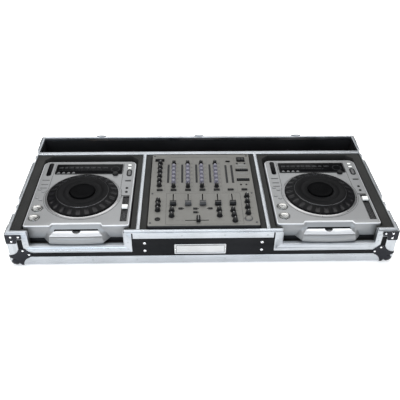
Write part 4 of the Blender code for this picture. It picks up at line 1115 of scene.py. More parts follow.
LATCH_Y, PIN_Z = 139.0, 76.0
for label, sx, sy in CORNERS:
    y = sy * LATCH_Y
    out = "X" if sx > 0 else "-X"

    def yz(points):
        return [(y + a, b) for a, b in points]

    bm = bmesh.new()
    x0, x1 = span(sx, 555.8, 564.7)
    prism(bm, yz(rounded([(-39.6, 42), (39.6, 42), (39.6, 119), (-39.6, 119)], [6, 6, 0.6, 0.6])), "YZ", x0, x1)
    dish = done("latch_tray_" + label, bm, [ZINC], "case", ["latch_dish_" + label])
    bm = bmesh.new()
    x0, x1 = span(sx, 563.5, 564.7)
    prism(bm, yz(rounded([(-50, 32.2), (50, 32.2), (50, 97.1), (-50, 97.1)], [7, 7, 3, 3])), "YZ", x0, x1)
    carve(dish, bm, operation="UNION")
    bm = bmesh.new()
    x0, x1 = span(sx, 557.0, 600)
    prism(bm, yz(rounded([(-38.4, 43.2), (38.4, 43.2), (38.4, 130), (-38.4, 130)], [5, 5, 0, 0])), "YZ", x0, x1)
    carve(dish, bm)
    bm = bmesh.new()
    lathe(bm, [(4.0, -0.6), (4.0, 2.2), (3.6, 2.6), (0, 2.6)], (sx * 557.0, y, PIN_Z), out, 20)
    carve(dish, bm, operation="UNION")
    soften(dish, 0.35)
    bm = bmesh.new()
    for a in (-44.6, 44.6):
        for z in (38.6, 65.0, 91.0):
            dome(bm, (sx * 564.7, y + a, z), out, 2.9, 0.9 if abs(z - 65) > 1 else 0.9)
    done("latch_tray_rivets_" + label, bm, RIVET, "case")

    bm = bmesh.new()
    side = rounded([(557.5, 58), (557.5, 118), (562.5, 118), (562.5, 113.2), (561.2, 113.2), (561.2, 116.2), (559.3, 116.2), (559.3, 58)], [0.3, 1.8, 1.0, 0.4, 0.4, 0.5, 0.6, 0.3], steps=4)
    prism(bm, [(sx * a, b) for a, b in side], "XZ", y - 11.5, y + 11.5)
    claw = done("latch_hook_" + label, bm, [ZINC], CAD_BODY["latch_claw_" + label], ["latch_claw_" + label])
    bm = bmesh.new()
    x0, x1 = span(sx, 550, 570)
    prism(bm, yz(rounded([(-11.5, 58), (11.5, 58), (11.5, 96), (9.0, 106), (9.0, 118), (-9.0, 118), (-9.0, 106), (-11.5, 96)], [5, 5, 4, 4, 1, 1, 4, 4])), "YZ", x0, x1)
    carve(claw, bm, operation="INTERSECT")
    bm = bmesh.new()
    slot = [(4.5 * math.cos(t), 76.0 + 4.5 * math.sin(t)) for t in [math.pi * k / 12 for k in range(13)]]
    slot += [(-4.5 * math.cos(t), 68.0 - 4.5 * math.sin(t)) for t in [math.pi * k / 12 for k in range(13)]]
    prism(bm, yz(slot), "YZ", x0, x1)
    carve(claw, bm)
    soften(claw, 0.25)

    bm = bmesh.new()
    x0, x1 = span(sx, 559.8, 561.9)
    half = [(0, 7.5), (8, 9), (20, 12), (30, 12), (30, -12), (20, -12), (8, -9), (0, -7.5)]
    full = [(a, b) for a, b in half[:4]] + [(a, b) for a, b in half[4:]] + [(-a, -b) for a, b in half[1:4]] + [(-a, -b) for a, b in half[4:7]]
    full = rounded(full, [0, 6, 6, 5, 5, 6, 6, 0, 6, 6, 5, 5, 6, 6], steps=4)
    prism(bm, [(y + a, PIN_Z + b) for a, b in full], "YZ", x0, x1)
    wing = done("latch_butterfly_" + label, bm, [ZINC], CAD_BODY["latch_wing_" + label], ["latch_wing_" + label])
    bm = bmesh.new()
    x0, x1 = span(sx, 561.5, 564.2)
    for side_y in (-1, 1):
        grip = rounded([(14, -3.6), (27, -5.0), (27, 5.0), (14, 3.6)], [2.5, 2.5, 2.5, 2.5], steps=4)
        prism(bm, [(y + side_y * a, PIN_Z + b) for a, b in grip], "YZ", x0, x1)
    lathe(bm, [(6.5, -0.4), (6.5, 1.0), (5.6, 1.5), (2.6, 1.5), (2.2, 0.9), (0, 0.9)], (sx * 561.9, y, PIN_Z), out, 28)
    carve(wing, bm, operation="UNION")
    soften(wing, 0.4)

# ------------------------------------------------------------------ sprung end handles

PIVOT_OUT, PIVOT_Z = 572.0, 84.0


def smooth_run(points, closed=False, steps=6):
    """A Catmull-Rom curve through the points."""
    pts = [Vector(p) for p in points]
    made = []
    count = len(pts)
    for k in range(count - 1):
        p0 = pts[max(0, k - 1)]
        p1, p2 = pts[k], pts[k + 1]
        p3 = pts[min(count - 1, k + 2)]
        for s in range(steps):
            t = s / steps
            made.append(0.5 * ((2 * p1) + (p2 - p0) * t + (2 * p0 - 5 * p1 + 4 * p2 - p3) * t * t + (3 * p1 - p0 - 3 * p2 + p3) * t**3))
    made.append(pts[-1])
    return made


for label, sx in SIDES:
    out = "X" if sx > 0 else "-X"
    bm = bmesh.new()
    x0, x1 = span(sx, 563.5, 565.0)
    prism(bm, rounded([(-66, 34), (66, 34), (66, 94), (-66, 94)], 7), "YZ", x0, x1)
    plate = done("handle_mount_" + label, bm, [ZINC], "case", ["handle_plate_" + label])
    bm = bmesh.new()
    for sy in (-1, 1):
        for a, b in ((52.0, 53.8), (58.2, 60.0)):
            y0, y1 = span(sy, a, b)
            ear = rounded([(564.3, 76.5), (579.0, 76.5), (579.0, 91.5), (564.3, 91.5)], [0, 6.5, 6.5, 0])
            prism(bm, [(sx * p, q) for p, q in ear], "XZ", y0, y1)
    carve(plate, bm, operation="UNION")
    bm = bmesh.new()
    lathe(bm, [(5.0, -70), (5.0, 70)], (sx * PIVOT_OUT, 0, PIVOT_Z), "Y", 28)
    carve(plate, bm)
    # a pressed hollow behind the grip
    bm = bmesh.new()
    x0, x1 = span(sx, 564.4, 566)
    prism(bm, rounded([(-44, 38), (44, 38), (44, 70), (-44, 70)], 9), "YZ", x0, x1)
    carve(plate, bm)
    soften(plate, 0.3)
    bm = bmesh.new()
    for a in (-60, 60):
        for z in (40, 70):
            dome(bm, (sx * 565.0, a, z), out, 3.1, 1.0)
    done("handle_mount_rivets_" + label, bm, RIVET, "case")
    bm = bmesh.new()
    for sy in (-1, 1):
        coil = []
        turns, per = 3.0, 16
        for k in range(int(turns * per) + 1):
            t = 2 * math.pi * k / per
            yy = sy * (54.6 + 2.8 * k / (turns * per))
            coil.append((sx * PIVOT_OUT + 5.9 * math.cos(t), yy, PIVOT_Z + 5.9 * math.sin(t)))
        tube(bm, coil, 0.42, 8)
    done("handle_springs_" + label, bm, [DARK_STEEL], "case")

    half_path = [(59.0, 0.0), (54.0, 0.0), (49.0, 0.0), (44.5, -1.6), (41.5, -5.5), (39.5, -13.0), (37.0, -28.0), (34.5, -34.5), (29.0, -39.0), (24.5, -40.0), (20.0, -40.0)]
    run = smooth_run([(a, b, 0) for a, b in half_path])
    bm = bmesh.new()
    whole = [(sx * PIVOT_OUT, p.x, PIVOT_Z + p.y) for p in run] + [(sx * PIVOT_OUT, -p.x, PIVOT_Z + p.y) for p in run[::-1]]
    tube(bm, whole, 4.4, 18)
    bar = done("handle_bar_" + label, bm, [POWDER], CAD_BODY["handle_" + label], ["handle_" + label])
    # ribbed grip, slightly barrelled
    profile = [(4.6, -23.6), (5.6, -23.6), (6.15, -23.0)]
    for k in range(-11, 12):
        yk = k * 1.9
        swell = 6.35 - 0.35 * (k / 11.0) ** 2
        profile += [(swell, yk - 0.62), (swell, yk + 0.42), (swell - 0.5, yk + 0.66), (swell - 0.5, yk + 1.04)] if k < 11 else [(swell, yk - 0.62), (swell, yk + 0.6)]
    profile += [(6.15, 23.0), (5.6, 23.6), (4.6, 23.6)]
    bm = bmesh.new()
    lathe(bm, profile, (sx * PIVOT_OUT, 0, PIVOT_Z - 40.0), "Y", 32)
    done("handle_grip_" + label, bm, [RUBBER], CAD_BODY["handle_" + label], angle=50)

# ------------------------------------------------------------------ players

DECK_TOP, DECK_SPLIT, MID_Y, JOG_LOCAL_Y = 124.3, 79.8, -72.75, -22.0


def between(value, knots):
    """Straight-line interpolation through (at, value) knots, in rising order."""
    if value <= knots[0][0]:
        return knots[0][1]
    for (a, va), (b, vb) in zip(knots, knots[1:]):
        if value <= b:
            return va + (vb - va) * (value - a) / (b - a)
    return knots[-1][1]


def ease(t):
    t = min(1.0, max(0.0, t))
    return t * t * (3 - 2 * t)


def arc(cx, cy, radius, start, end, steps):
    """Points on an arc, angles in degrees."""
    made = []
    for k in range(steps + 1):
        t = math.radians(start + (end - start) * k / steps)
        made.append((cx + radius * math.cos(t), cy + radius * math.sin(t)))
    return made


def offset_ring(points, inset):
    """A closed outline moved inwards (counter-clockwise outlines)."""
    made = []
    count = len(points)
    for k in range(count):
        a, b, c = Vector(points[k - 1]), Vector(points[k]), Vector(points[(k + 1) % count])
        d0, d1 = (b - a), (c - b)
        if d0.length < 1e-6 or d1.length < 1e-6:
            made.append(tuple(b))
            continue
        d0.normalize()
        d1.normalize()
        n0, n1 = Vector((-d0.y, d0.x)), Vector((-d1.y, d1.x))
        mitre = (n0 + n1) / (1 + n0.dot(n1))
        made.append(tuple(b + mitre * inset))
    return made


def loft(bm, rings, index=0, caps=(True, True)):
    """Rings of 3-D points with the same count, joined in order."""
    before = len(bm.faces)
    loops = [[bm.verts.new(p) for p in ring] for ring in rings]
    count = len(loops[0])
    for a, b in zip(loops, loops[1:]):
        for k in range(count):
            j = (k + 1) % count
            bm.faces.new((a[k], a[j], b[j], b[k]))
    if caps[0]:
        bm.faces.new(loops[0][::-1])
    if caps[1]:
        bm.faces.new(loops[-1])
    new_faces(bm, before, index)
    return loops


def plate(bm, outline, low, high, fillet=0.5, index=0, steps=3, top_index=None):
    """A plan outline raised from low to high, with its top edge rounded."""
    rings = [[(x, y, low) for x, y in outline]]
    for k in range(steps + 1):
        t = math.pi / 2 * k / steps
        inset = fillet * (1 - math.cos(t))
        ring = offset_ring(outline, inset) if inset > 1e-6 else outline
        rings.append([(x, y, high - fillet + fillet * math.sin(t)) for x, y in ring])
    before = len(bm.faces)
    loft(bm, rings, index)
    if top_index is not None:
        bm.faces.ensure_lookup_table()
        bm.faces[-1].material_index = top_index
    return before


def ring_band(bm, outer, inner, low, high, index=0):
    """A flat frame between two outlines of the same count."""
    before = len(bm.faces)
    loops = []
    for outline, z in ((outer, low), (outer, high), (inner, high), (inner, low)):
        loops.append([bm.verts.new((x, y, z)) for x, y in outline])
    count = len(outer)
    for a, b in zip(loops, loops[1:] + loops[:1]):
        for k in range(count):
            j = (k + 1) % count
            bm.faces.new((a[k], a[j], b[j], b[k]))
    new_faces(bm, before, index)


def stadium(x, y, half_w, half_h, steps=6):
    r = min(half_w, half_h)
    return rounded([(x - half_w, y - half_h), (x + half_w, y - half_h), (x + half_w, y + half_h), (x - half_w, y + half_h)], r * 0.985, steps=steps)


def pad(x, y, half_w, half_h, radius, steps=4):
    return rounded([(x - half_w, y - half_h), (x + half_w, y - half_h), (x + half_w, y + half_h), (x - half_w, y + half_h)], radius, steps=steps)


NOSE_Y = [(79.8, -262.6), (85.0, -263.2), (90.0, -263.4), (94.0, -262.2), (96.5, -259.0), (98.5, -254.6), (103.4, -247.4), (109.4, -242.5), (DECK_TOP, -231.0)]


def shell_outline(cx, z):
    """The player's plan at a height: the disc slot's housing stands out low down and falls back towards the top."""
    nose = between(z, NOSE_Y)
    inner = 68.5 + 10.5 * (DECK_TOP - z) / 44.5
    outer = 75.0 + 21.0 * (DECK_TOP - z) / 44.5
    bow = 3.2 * ease((101.0 - z) / 14.0)
    front = -242.0
    points = [(-152.5 + 8 - 8 * math.cos(t), front + 8 - 8 * math.sin(t)) for t in [math.pi / 2 * k / 6 for k in range(7)]]
    flank = [k / 4 for k in range(5)]
    points += [(-outer + (outer - inner) * s, front + (nose - front) * s) for s in flank]
    across = [-1 + 2 * k / 16 for k in range(1, 16)]
    points += [(inner * s, nose - bow * (1 - s * s)) for s in across]
    points += [(inner + (outer - inner) * (1 - s), front + (nose - front) * s) for s in flank[::-1]]
    points += [(152.5 - 8 + 8 * math.sin(t), front + 8 - 8 * math.cos(t)) for t in [math.pi / 2 * k / 6 for k in range(7)]]
    points += [(152.5 - 20 + 20 * math.cos(t), 96.5 - 20 + 20 * math.sin(t)) for t in [math.pi / 2 * k / 8 for k in range(9)]]
    points += [(-152.5 + 20 - 20 * math.sin(t), 96.5 - 20 + 20 * math.cos(t)) for t in [math.pi / 2 * k / 8 for k in range(9)]]
    return [(cx + x, y) for x, y in points]


for label, sx in SIDES:
    cx = sx * 367.0
    owner = CAD_BODY["deck_shell_" + label]

    def at(x, y, z=None):
        return (cx + x, MID_Y + y) if z is None else (cx + x, MID_Y + y, z)

    # --- upper shell
    front_edge = -242.3
    fillet = 3.0
    rings = []
    for z, inset in ((79.8, 1.2), (80.3, 0.45), (81.2, 0.0), (83, 0), (85, 0), (87, 0), (89, 0), (91.5, 0), (94, 0), (96, 0), (98.5, 0), (101, 0), (103.4, 0), (106.4, 0), (109.4, 0), (113, 0), (117, 0), (DECK_TOP - fillet, 0)):
        outline = shell_outline(cx, z)
        # the lower edge is rounded, but not where the apron carries on below it
        rings.append([(*(b if a[1] > front_edge else a), z) for a, b in zip(outline, offset_ring(outline, inset) if inset else outline)])
    for k in range(1, 6):
        t = math.pi / 2 * k / 5
        z = DECK_TOP - fillet + fillet * math.sin(t)
        outline = offset_ring(shell_outline(cx, z), fillet * (1 - math.cos(t)))
        rings.append([(x, y, z) for x, y in outline])
    bm = bmesh.new()
    loft(bm, rings)
    for face in bm.faces:  # the rounded edge of the top takes the pale lacquer: a painted highlight along the edge
        heights = [v.co.z for v in face.verts]
        if min(heights) > DECK_TOP - fillet + 0.5 and max(heights) - min(heights) > 0.02:
            face.material_index = 1
    shell = done("player_shell_" + label, bm, [SILVER, BRIGHT_SILVER], owner, ["deck_shell_" + label])
    bm = bmesh.new()
    # disc slot
    slot = rounded([(cx - 63.5, 105.9), (cx + 63.5, 105.9), (cx + 63.5, 111.0), (cx - 63.5, 111.0)], 2.3, steps=4)
    prism(bm, slot, "XZ", -290, -222)
    lathe(bm, [(11.0, 97.8), (11.0, 105.6)], (cx, -246.8, 0.0), "Z", 32)
    # tempo track and the seats of the two round buttons
    x0, y0 = at(124, -150)
    x1, y1 = at(144, -28)
    prism(bm, rounded([(x0, y0), (x1, y0), (x1, y1), (x0, y1)], 1.5), "XY", DECK_TOP - 3.0, DECK_TOP + 9)
    for bx, by in ((-126.0, -86.0), (-126.5, -131.4)):
        lathe(bm, [(16.3, -4.0), (16.3, 9.0)], at(bx, by, DECK_TOP), "Z", 40)
    # engraved line: straight beside the display, then round the wheel
    turn = math.degrees(math.acos(112.5 / 118.6))
    path = [(-112.5, 156.0)] + arc(0, JOG_LOCAL_Y, 118.6, 180 - turn, 360 + turn, 72) + [(112.5, 156.0)]
    left, right = [], []
    for k, p in enumerate(path):
        a = Vector(path[max(0, k - 1)])
        b = Vector(path[min(len(path) - 1, k + 1)])
        d = (b - a).normalized()
        n = Vector((-d.y, d.x))
        left.append(tuple(Vector(p) + n * 0.55))
        right.append(tuple(Vector(p) - n * 0.55))
    groove = [at(*p) for p in left + right[::-1]]
    prism(bm, groove, "XY", DECK_TOP - 0.9, DECK_TOP + 3)
    carve(shell, bm, MOULDED, angle=30)

    # --- loading lip under the disc slot
    stations = [-1 + 2 * k / 24 for k in range(25)]
    section = [(-242.2, 106.4, 65.0, 0.0), (-245.5, 105.9, 65.5, 0.0), (-249.5, 104.5, 67.0, 0.3), (-256.8, 100.7, 74.6, 1.6), (-258.0, 99.7, 75.4, 1.8), (-258.0, 98.5, 75.4, 1.8), (-255.4, 97.4, 74.6, 1.4), (-245.4, 99.8, 66.0, 0.3)]
    bm = bmesh.new()
    columns = []
    for s in stations:
        columns.append([(cx + half * s, y - bow * (1 - s * s), z) for y, z, half, bow in section])
    loops = [[bm.verts.new(p) for p in column] for column in columns]
    for a, b in zip(loops, loops[1:]):
        for k in range(len(section)):
            j = (k + 1) % len(section)
            bm.faces.new((a[k], a[j], b[j], b[k]))
    bm.faces.new(loops[0][::-1])
    bm.faces.new(loops[-1])
    lip = done("player_disc_lip_" + label, bm, [BRIGHT_SILVER], owner, angle=30)
    bm = bmesh.new()
    lathe(bm, [(12.5, -1.6), (12.5, 14.0)], (cx, -245.0, 104.0), "Z", 36, squash=lambda t, r, h: 1.0 / (abs(math.cos(t)) ** 1.4 + abs(1.45 * math.sin(t)) ** 1.4) ** (1 / 1.4))
    carve(lip, bm, SILVER, angle=30)
    soften(lip, 0.3)

    # --- apron in front of the chassis, down to the sill
    rings = []
    for k, (z, inset) in enumerate(((79.75, 0.0), (78.2, 0.0), (76.4, 0.0), (75.0, 0.0), (74.1, 0.35), (73.5, 1.2))):
        t = (79.8 - z) / 6.4
        inner, outer = 79.0 - 4.0 * t, 96.0 - 12.0 * t
        nose = NOSE_Y[0][1] + 0.6 * t * t
        flank = [k / 4 for k in range(5)]
        points = [(-outer, -240.0)] + [(-outer + (outer - inner) * f, -242.0 + (nose + 242.0) * f) for f in flank]
        points += [(inner * f, nose - 3.2 * (1 - f * f)) for f in [-1 + 2 * k / 16 for k in range(1, 16)]]
        points += [(inner + (outer - inner) * (1 - f), -242.0 + (nose + 242.0) * f) for f in flank[::-1]] + [(outer, -240.0)]
        outline = [(cx + x, y) for x, y in points]
        rings.append([(x, y, z) for x, y in (offset_ring(outline, inset) if inset else outline)])
    bm = bmesh.new()
    loft(bm, rings)
    done("player_apron_" + label, bm, [SILVER], owner)

    # --- chassis under the shell
    bm = bmesh.new()
    soft_box(bm, (cx - 150, -238, 21.5), (cx + 150, 94, 79.4), 1.2)
    chassis = done("player_chassis_" + label, bm, [POWDER, MOULDED], owner, ["deck_chassis_" + label])
    bm = bmesh.new()
    for side in (-1, 1):
        a, b = span(side, 149.0, 156)
        for k in range(9):
            y = -118 + 13 * k
            prism(bm, rounded([(y, 48), (y + 4.2, 48), (y + 4.2, 68), (y, 68)], 1.9), "YZ", cx + a, cx + b)
    # hollows for the rear sockets
    for x, half in ((-112, 13), (-84, 8), (-52, 9)):
        prism(bm, rounded([(cx + x - half, 34), (cx + x + half, 34), (cx + x + half, 56), (cx + x - half, 56)], 2.2), "XZ", 91.0, 99)
    prism(bm, rounded([(cx + 92, 32), (cx + 122, 32), (cx + 122, 55), (cx + 92, 55)], 3.5), "XZ", 82.0, 99)
    carve(chassis, bm, MOULDED)
    bm = bmesh.new()
    # folded tray under the chassis
    outline = rounded([(cx - 150, -238), (cx + 150, -238), (cx + 150, 94), (cx - 150, 94)], 2.0)
    prism(bm, outline, "XY", 19.8, 21.4)
    for a in (-1, 1):
        for b in (-1, 1):
            lathe(bm, [(11.0, 4.4), (13.0, 3.6), (13.0, 1.2), (12.2, 0.3), (9.0, 0.0), (4.2, 0.0), (4.0, 0.9), (0, 0.9)], at(a * 122, b * 138, 15.8), "Z", 28, 1)
    done("player_tray_feet_" + label, bm, [POWDER, RUBBER], owner)
    bm = bmesh.new()
    for x in (-142, -60, 60, 142):
        cross_screw(bm, (cx + x, 94.0, 73), "Y", 3.0, 1.3)
    for side, axis in ((-1, "-X"), (1, "X")):
        for y in (-200, 70):
            cross_screw(bm, (cx + side * 150.0, y, 72), axis, 3.0, 1.3)
    done("player_screws_" + label, bm, [RIVET, DARK_STEEL], owner)
    bm = bmesh.new()
    for x, z, ring in ((-117.5, 45, 1), (-106.5, 45, 2)):
        lathe(bm, [(5.2, -0.3), (5.2, 2.4), (4.6, 2.6), (3.6, 2.6), (3.4, 2.0), (3.4, 0.4)], (cx + x, 91.0, z), "Y", 24, ring)
        lathe(bm, [(2.6, 0.3), (2.6, 3.0), (2.2, 3.2), (1.0, 3.2), (0.9, 1.4), (0, 1.4)], (cx + x, 91.0, z), "Y", 20, 0)
    for x in (-84, -52):
        lathe(bm, [(5.8, -0.3), (5.8, 2.2), (5.2, 2.6), (3.2, 2.6), (2.6, 1.8), (2.6, 0.2), (0, 0.2)], (cx + x, 91.0, 45), "Y", 24, 3)
    for x, z in ((101.5, 43.5), (107, 47.5), (112.5, 43.5)):
        soft_box(bm, (cx + x - 1, 82, z - 2), (cx + x + 1, 91, z + 2), 0.3)
    done("player_sockets_" + label, bm, [RIVET, WHITE, LIT, MOULDED], owner)

    # --- collar of the wheel
    bm = bmesh.new()
    lathe(
        bm,
        [(108.4, 123.9), (108.4, 125.7), (108.8, 126.2), (109.6, 126.3), (111.4, 125.8), (113.2, 125.1), (114.6, 124.5), (115.2, 124.1), (115.2, 123.9)],
        at(0, JOG_LOCAL_Y, 0), "Z", 144,
    )
    done("player_wheel_collar_" + label, bm, [COLLAR], owner, angle=60)

    # --- fixed hub in the middle of the wheel
    bm = bmesh.new()
    lathe(bm, [(38.2, 124.0), (38.2, 142.3), (37.8, 143.0), (36.9, 143.4), (35.6, 143.45), (35.2, 143.1), (34.4, 143.0), (20.0, 143.2), (0, 143.35)], at(0, JOG_LOCAL_Y, 0), "Z", 96)
    done("player_hub_" + label, bm, [HUB_TOP], owner, angle=40)

    # --- wheel: flat top, stepped edge, conical skirt with finger hollows
    bm = bmesh.new()
    dimples = 24
    steps = dimples * 12
    profile = [
        (40.2, 126.0), (40.2, 139.4), (40.6, 139.9), (41.6, 140.0), (42.1, 139.75), (42.7, 139.75), (43.1, 139.95), (58.0, 139.95), (58.4, 139.7), (58.9, 139.7), (59.3, 139.95),
        (77.6, 140.0), (78.7, 139.85), (79.5, 139.35), (80.0, 138.6), (81.2, 138.35),
        (82.6, 138.15), (84.0, 137.8), (86.0, 137.2), (88.0, 136.6), (90.5, 135.8), (93.0, 135.0), (95.5, 134.2), (98.0, 133.4), (100.5, 132.6), (103.0, 131.8), (105.0, 131.15), (106.4, 130.5), (107.3, 129.6), (107.7, 128.5),
        (107.7, 126.4), (107.3, 125.3), (106.0, 124.9), (60.0, 124.9), (42.0, 124.9),
    ]
    rings = []
    jx, jy = at(0, JOG_LOCAL_Y)
    for radius, height in profile:
        ring = []
        for k in range(steps):
            t = 2 * math.pi * k / steps + math.pi / 2
            drop = 0.0
            if 83.0 < radius < 106.0 and height > 125.5:
                wave = 0.5 + 0.5 * math.cos(dimples * t)
                radial = math.sin(math.pi * (radius - 83.0) / 23.0)
                drop = 1.7 * (wave**1.1) * radial
            ring.append((jx + radius * math.cos(t), jy + radius * math.sin(t), height - drop))
        rings.append(ring)
    loops = loft(bm, rings, caps=(False, False))
    count = steps
    for k in range(count):
        j = (k + 1) % count
        bm.faces.new((loops[-1][k], loops[-1][j], loops[0][j], loops[0][k]))
    wheel = done("player_wheel_" + label, bm, [JOG_TOP, PAD, DARK_STEEL], CAD_BODY["jog_wheel_" + label], ["jog_wheel_" + label], angle=40)
    for face in wheel.data.polygons:
        c = Vector((face.center.x / MM - jx, face.center.y / MM - jy))
        if 78.4 < c.length < 80.4 and face.center.z > 0.1355:
            face.material_index = 2
        elif 84.0 < c.length < 106.0 and face.center.z > 0.1255:
            t = math.atan2(c.y, c.x) - math.pi / 2
            if math.cos(dimples * t) > -0.05 and (((c.length - 95.0) / 9.6) ** 2 + ((1 - math.cos(dimples * t)) / 1.15) ** 2) < 1.0:
                face.material_index = 1

    # --- display
    bm = bmesh.new()
    frame_out = pad(*at(1, 123.0), 109.5, 28.5, 4.0)
    frame_in = pad(*at(1, 123.0), 106.5, 25.0, 2.5)
    ring_band(bm, frame_out, frame_in, 123.6, 126.2)
    done("player_display_frame_" + label, bm, [MOULDED], owner, bevel=0.5)
    bm = bmesh.new()
    plate(bm, pad(*at(1, 123.0), 106.3, 24.8, 2.4), 123.4, 125.6, 0.3)
    done("player_display_window_" + label, bm, [GLOSS], owner)
    # faint cells behind the window
    bm = bmesh.new()
    for x, y, w, h in ((-92, 131, 7, 4.4), (-76, 131, 5, 4.4), (-60, 133, 8, 2.2), (-60, 128, 8, 1.4), (-41, 131, 5.5, 4.4), (-27, 131, 5.5, 4.4), (-8, 131, 8, 4.6), (12, 131, 8, 4.6), (31, 131, 6, 3.6), (52, 133, 9, 1.4), (52, 129, 9, 1.4)):
        plate(bm, pad(*at(x, y), w, h, 0.8, 2), 125.5, 125.72, 0.05)
    for k in range(16):
        t = 2 * math.pi * k / 16
        x, y = 86 + 14 * math.cos(t), 122 + 14 * math.sin(t)
        plate(bm, arc(*at(x, y), 1.7, 0, 324, 9), 125.5, 125.75, 0.05)
    for x in [-96 + 9 * k for k in range(16)]:
        plate(bm, pad(*at(x, 117.5), 3.4, 0.8, 0.3, 1), 125.5, 125.72, 0.05)
    done("player_display_cells_" + label, bm, [CELL], owner)
    # slanted keys along its near edge
    bm = bmesh.new()
    for x in (-96, -80, -64, -48):
        key = rounded([at(x - 6.0, 96.2), at(x + 6.0, 96.2), at(x + 3.2, 104.6), at(x - 2.2, 104.6)], [1.4, 1.4, 1.4, 1.4], steps=3)
        plate(bm, key, 125.4, 127.2, 0.7)
    done("player_display_keys_" + label, bm, [SHADOW_SILVER], owner)
    bm = bmesh.new()
    lathe(bm, [(9.6, 124.2), (9.6, 125.4), (8.4, 126.0), (8.2, 130.2), (7.5, 131.0), (0, 131.1)], at(89, 92.5, 0), "Z", 48, squash=lambda t, r, h: 1 - (0.05 * (0.5 + 0.5 * math.cos(16 * t)) if 6 < r < 8.3 else 0))
    done("player_touch_knob_" + label, bm, [MOULDED], owner)

    # --- long dark window at the left
    bm = bmesh.new()
    plate(bm, stadium(*at(-127.5, 122.5), 7.6, 37.5), 124.0, 125.0, 0.4)
    done("player_side_window_" + label, bm, [GLOSS], owner)
    bm = bmesh.new()
    ring_band(bm, stadium(*at(-127.5, 122.5), 9.0, 38.9), stadium(*at(-127.5, 122.5), 7.7, 37.6), 124.0, 124.75)
    done("player_side_bezel_" + label, bm, [SILVER], owner, bevel=0.2, steps=1)

    # --- dark inserts flush with the top
    bm = bmesh.new()
    for x, y, w, h, r in (
        (-129.5, 61.8, 11.8, 1.0, 0.9), (-129.0, 37.6, 10.8, 0.7, 0.6), (-129.0, 18.8, 10.8, 0.7, 0.6),
        (132.7, 55.6, 9.4, 2.9, 0.9), (131.7, -24.8, 12.4, 1.7, 0.6),
    ):
        plate(bm, pad(*at(x, y), w, h, r, 3), 124.0, 124.75, 0.25)
    for x, y, r in ((132, 16, 4.3), (132, -5, 4.3)):
        plate(bm, arc(*at(x, y), r, 0, 345, 23), 124.0, 125.9, 0.6)
    ring_band(bm, stadium(*at(133.5, 100), 8.6, 18.4), stadium(*at(133.5, 100), 4.6, 13.6), 124.0, 125.4)
    done("player_dark_inserts_" + label, bm, [MOULDED], owner)

    # --- pale keys and lines
    bm = bmesh.new()
    for x, y, w, h, r in ((-129.5, 64.6, 11.8, 1.0, 0.9), (132.2, 61.8, 11.0, 0.9, 0.7), (-129.0, 40.0, 10.8, 0.7, 0.6), (-129.0, 21.2, 10.8, 0.7, 0.6)):
        plate(bm, pad(*at(x, y), w, h, r, 3), 124.0, 125.1, 0.4)
    for x, y in ((-138.5, 11.0), (-126.0, -0.5), (-138.5, -32.0), (-126.0, -44.0)):
        plate(bm, stadium(*at(x, y), 5.2, 3.6), 124.0, 126.3, 0.9)
    before = len(bm.faces)
    plate(bm, stadium(*at(133.5, 100), 4.2, 13.2), 124.0, 125.9, 0.8, 1)
    done("player_pale_keys_" + label, bm, [SILVER, SHADOW_SILVER], owner)
    bm = bmesh.new()
    for x, y in ((132.0, 146.0), (132.5, 128.5)):
        plate(bm, stadium(*at(x, y), 6.4, 3.6), 124.0, 126.0, 0.9)
    done("player_white_keys_" + label, bm, [LIT], owner)
    bm = bmesh.new()
    for x, y in ((132.0, 146.0), (132.5, 128.5)):
        ring_band(bm, stadium(*at(x, y), 7.6, 4.8), stadium(*at(x, y), 6.5, 3.7), 124.0, 124.8)
    for x, y in ((-138.5, 11.0), (-126.0, -0.5), (-138.5, -32.0), (-126.0, -44.0)):
        ring_band(bm, stadium(*at(x, y), 5.9, 4.3), stadium(*at(x, y), 5.3, 3.7), 123.9, 124.42)
    done("player_key_wells_" + label, bm, [PANEL_LINE], owner)

    # --- tempo track: slit, scale and cap
    bm = bmesh.new()
    x0, y0 = at(124.3, -149.6)
    x1, y1 = at(143.7, -28.4)
    plate(bm, rounded([(x0, y0), (x1, y0), (x1, y1), (x0, y1)], 1.2), 121.2, 121.7, 0.1, 0)
    ring_band(bm, pad(*at(134, -89), 2.3, 57.0, 0.8), pad(*at(134, -89), 1.5, 56.2, 0.6), 121.6, 122.1, 1)
    for k in range(17):
        y = -140 + 102 * k / 16
        long = 3.4 if k % 4 == 0 else 2.2
        for side in (-1, 1):
            quad_box(bm, (cx + 134 + side * 6.4 - long / 2, MID_Y + y - 0.35, 121.6), (cx + 134 + side * 6.4 + long / 2, MID_Y + y + 0.35, 121.86), 2)
    done("player_tempo_scale_" + label, bm, [MOULDED, DARK_STEEL, FADED_INK], owner)
    ty = -84.0 if sx < 0 else -52.0
    bm = bmesh.new()
    side = rounded([(-8.0, 124.8), (8.0, 124.8), (8.0, 128.6), (6.2, 131.7), (2.0, 131.3), (0.8, 130.3), (-0.8, 130.3), (-2.0, 131.3), (-6.2, 131.7), (-8.0, 128.6)], [0.4, 0.4, 1.2, 1.2, 0.8, 0.3, 0.3, 0.8, 1.2, 1.2], steps=3)
    prism(bm, [(MID_Y + ty + a, b) for a, b in side], "YZ", cx + 134 - 8.5, cx + 134 + 8.5)
    cap = done("player_tempo_cap_" + label, bm, [WHITE], CAD_BODY["tempo_slider_" + label], ["tempo_slider_" + label], bevel=0.6)
    bm = bmesh.new()
    soft_box(bm, (cx + 134 - 6.5, MID_Y + ty - 6.5, 122.3), (cx + 134 + 6.5, MID_Y + ty + 6.5, 124.9), 0.6)
    done("player_tempo_stem_" + label, bm, [MOULDED], CAD_BODY["tempo_slider_" + label])

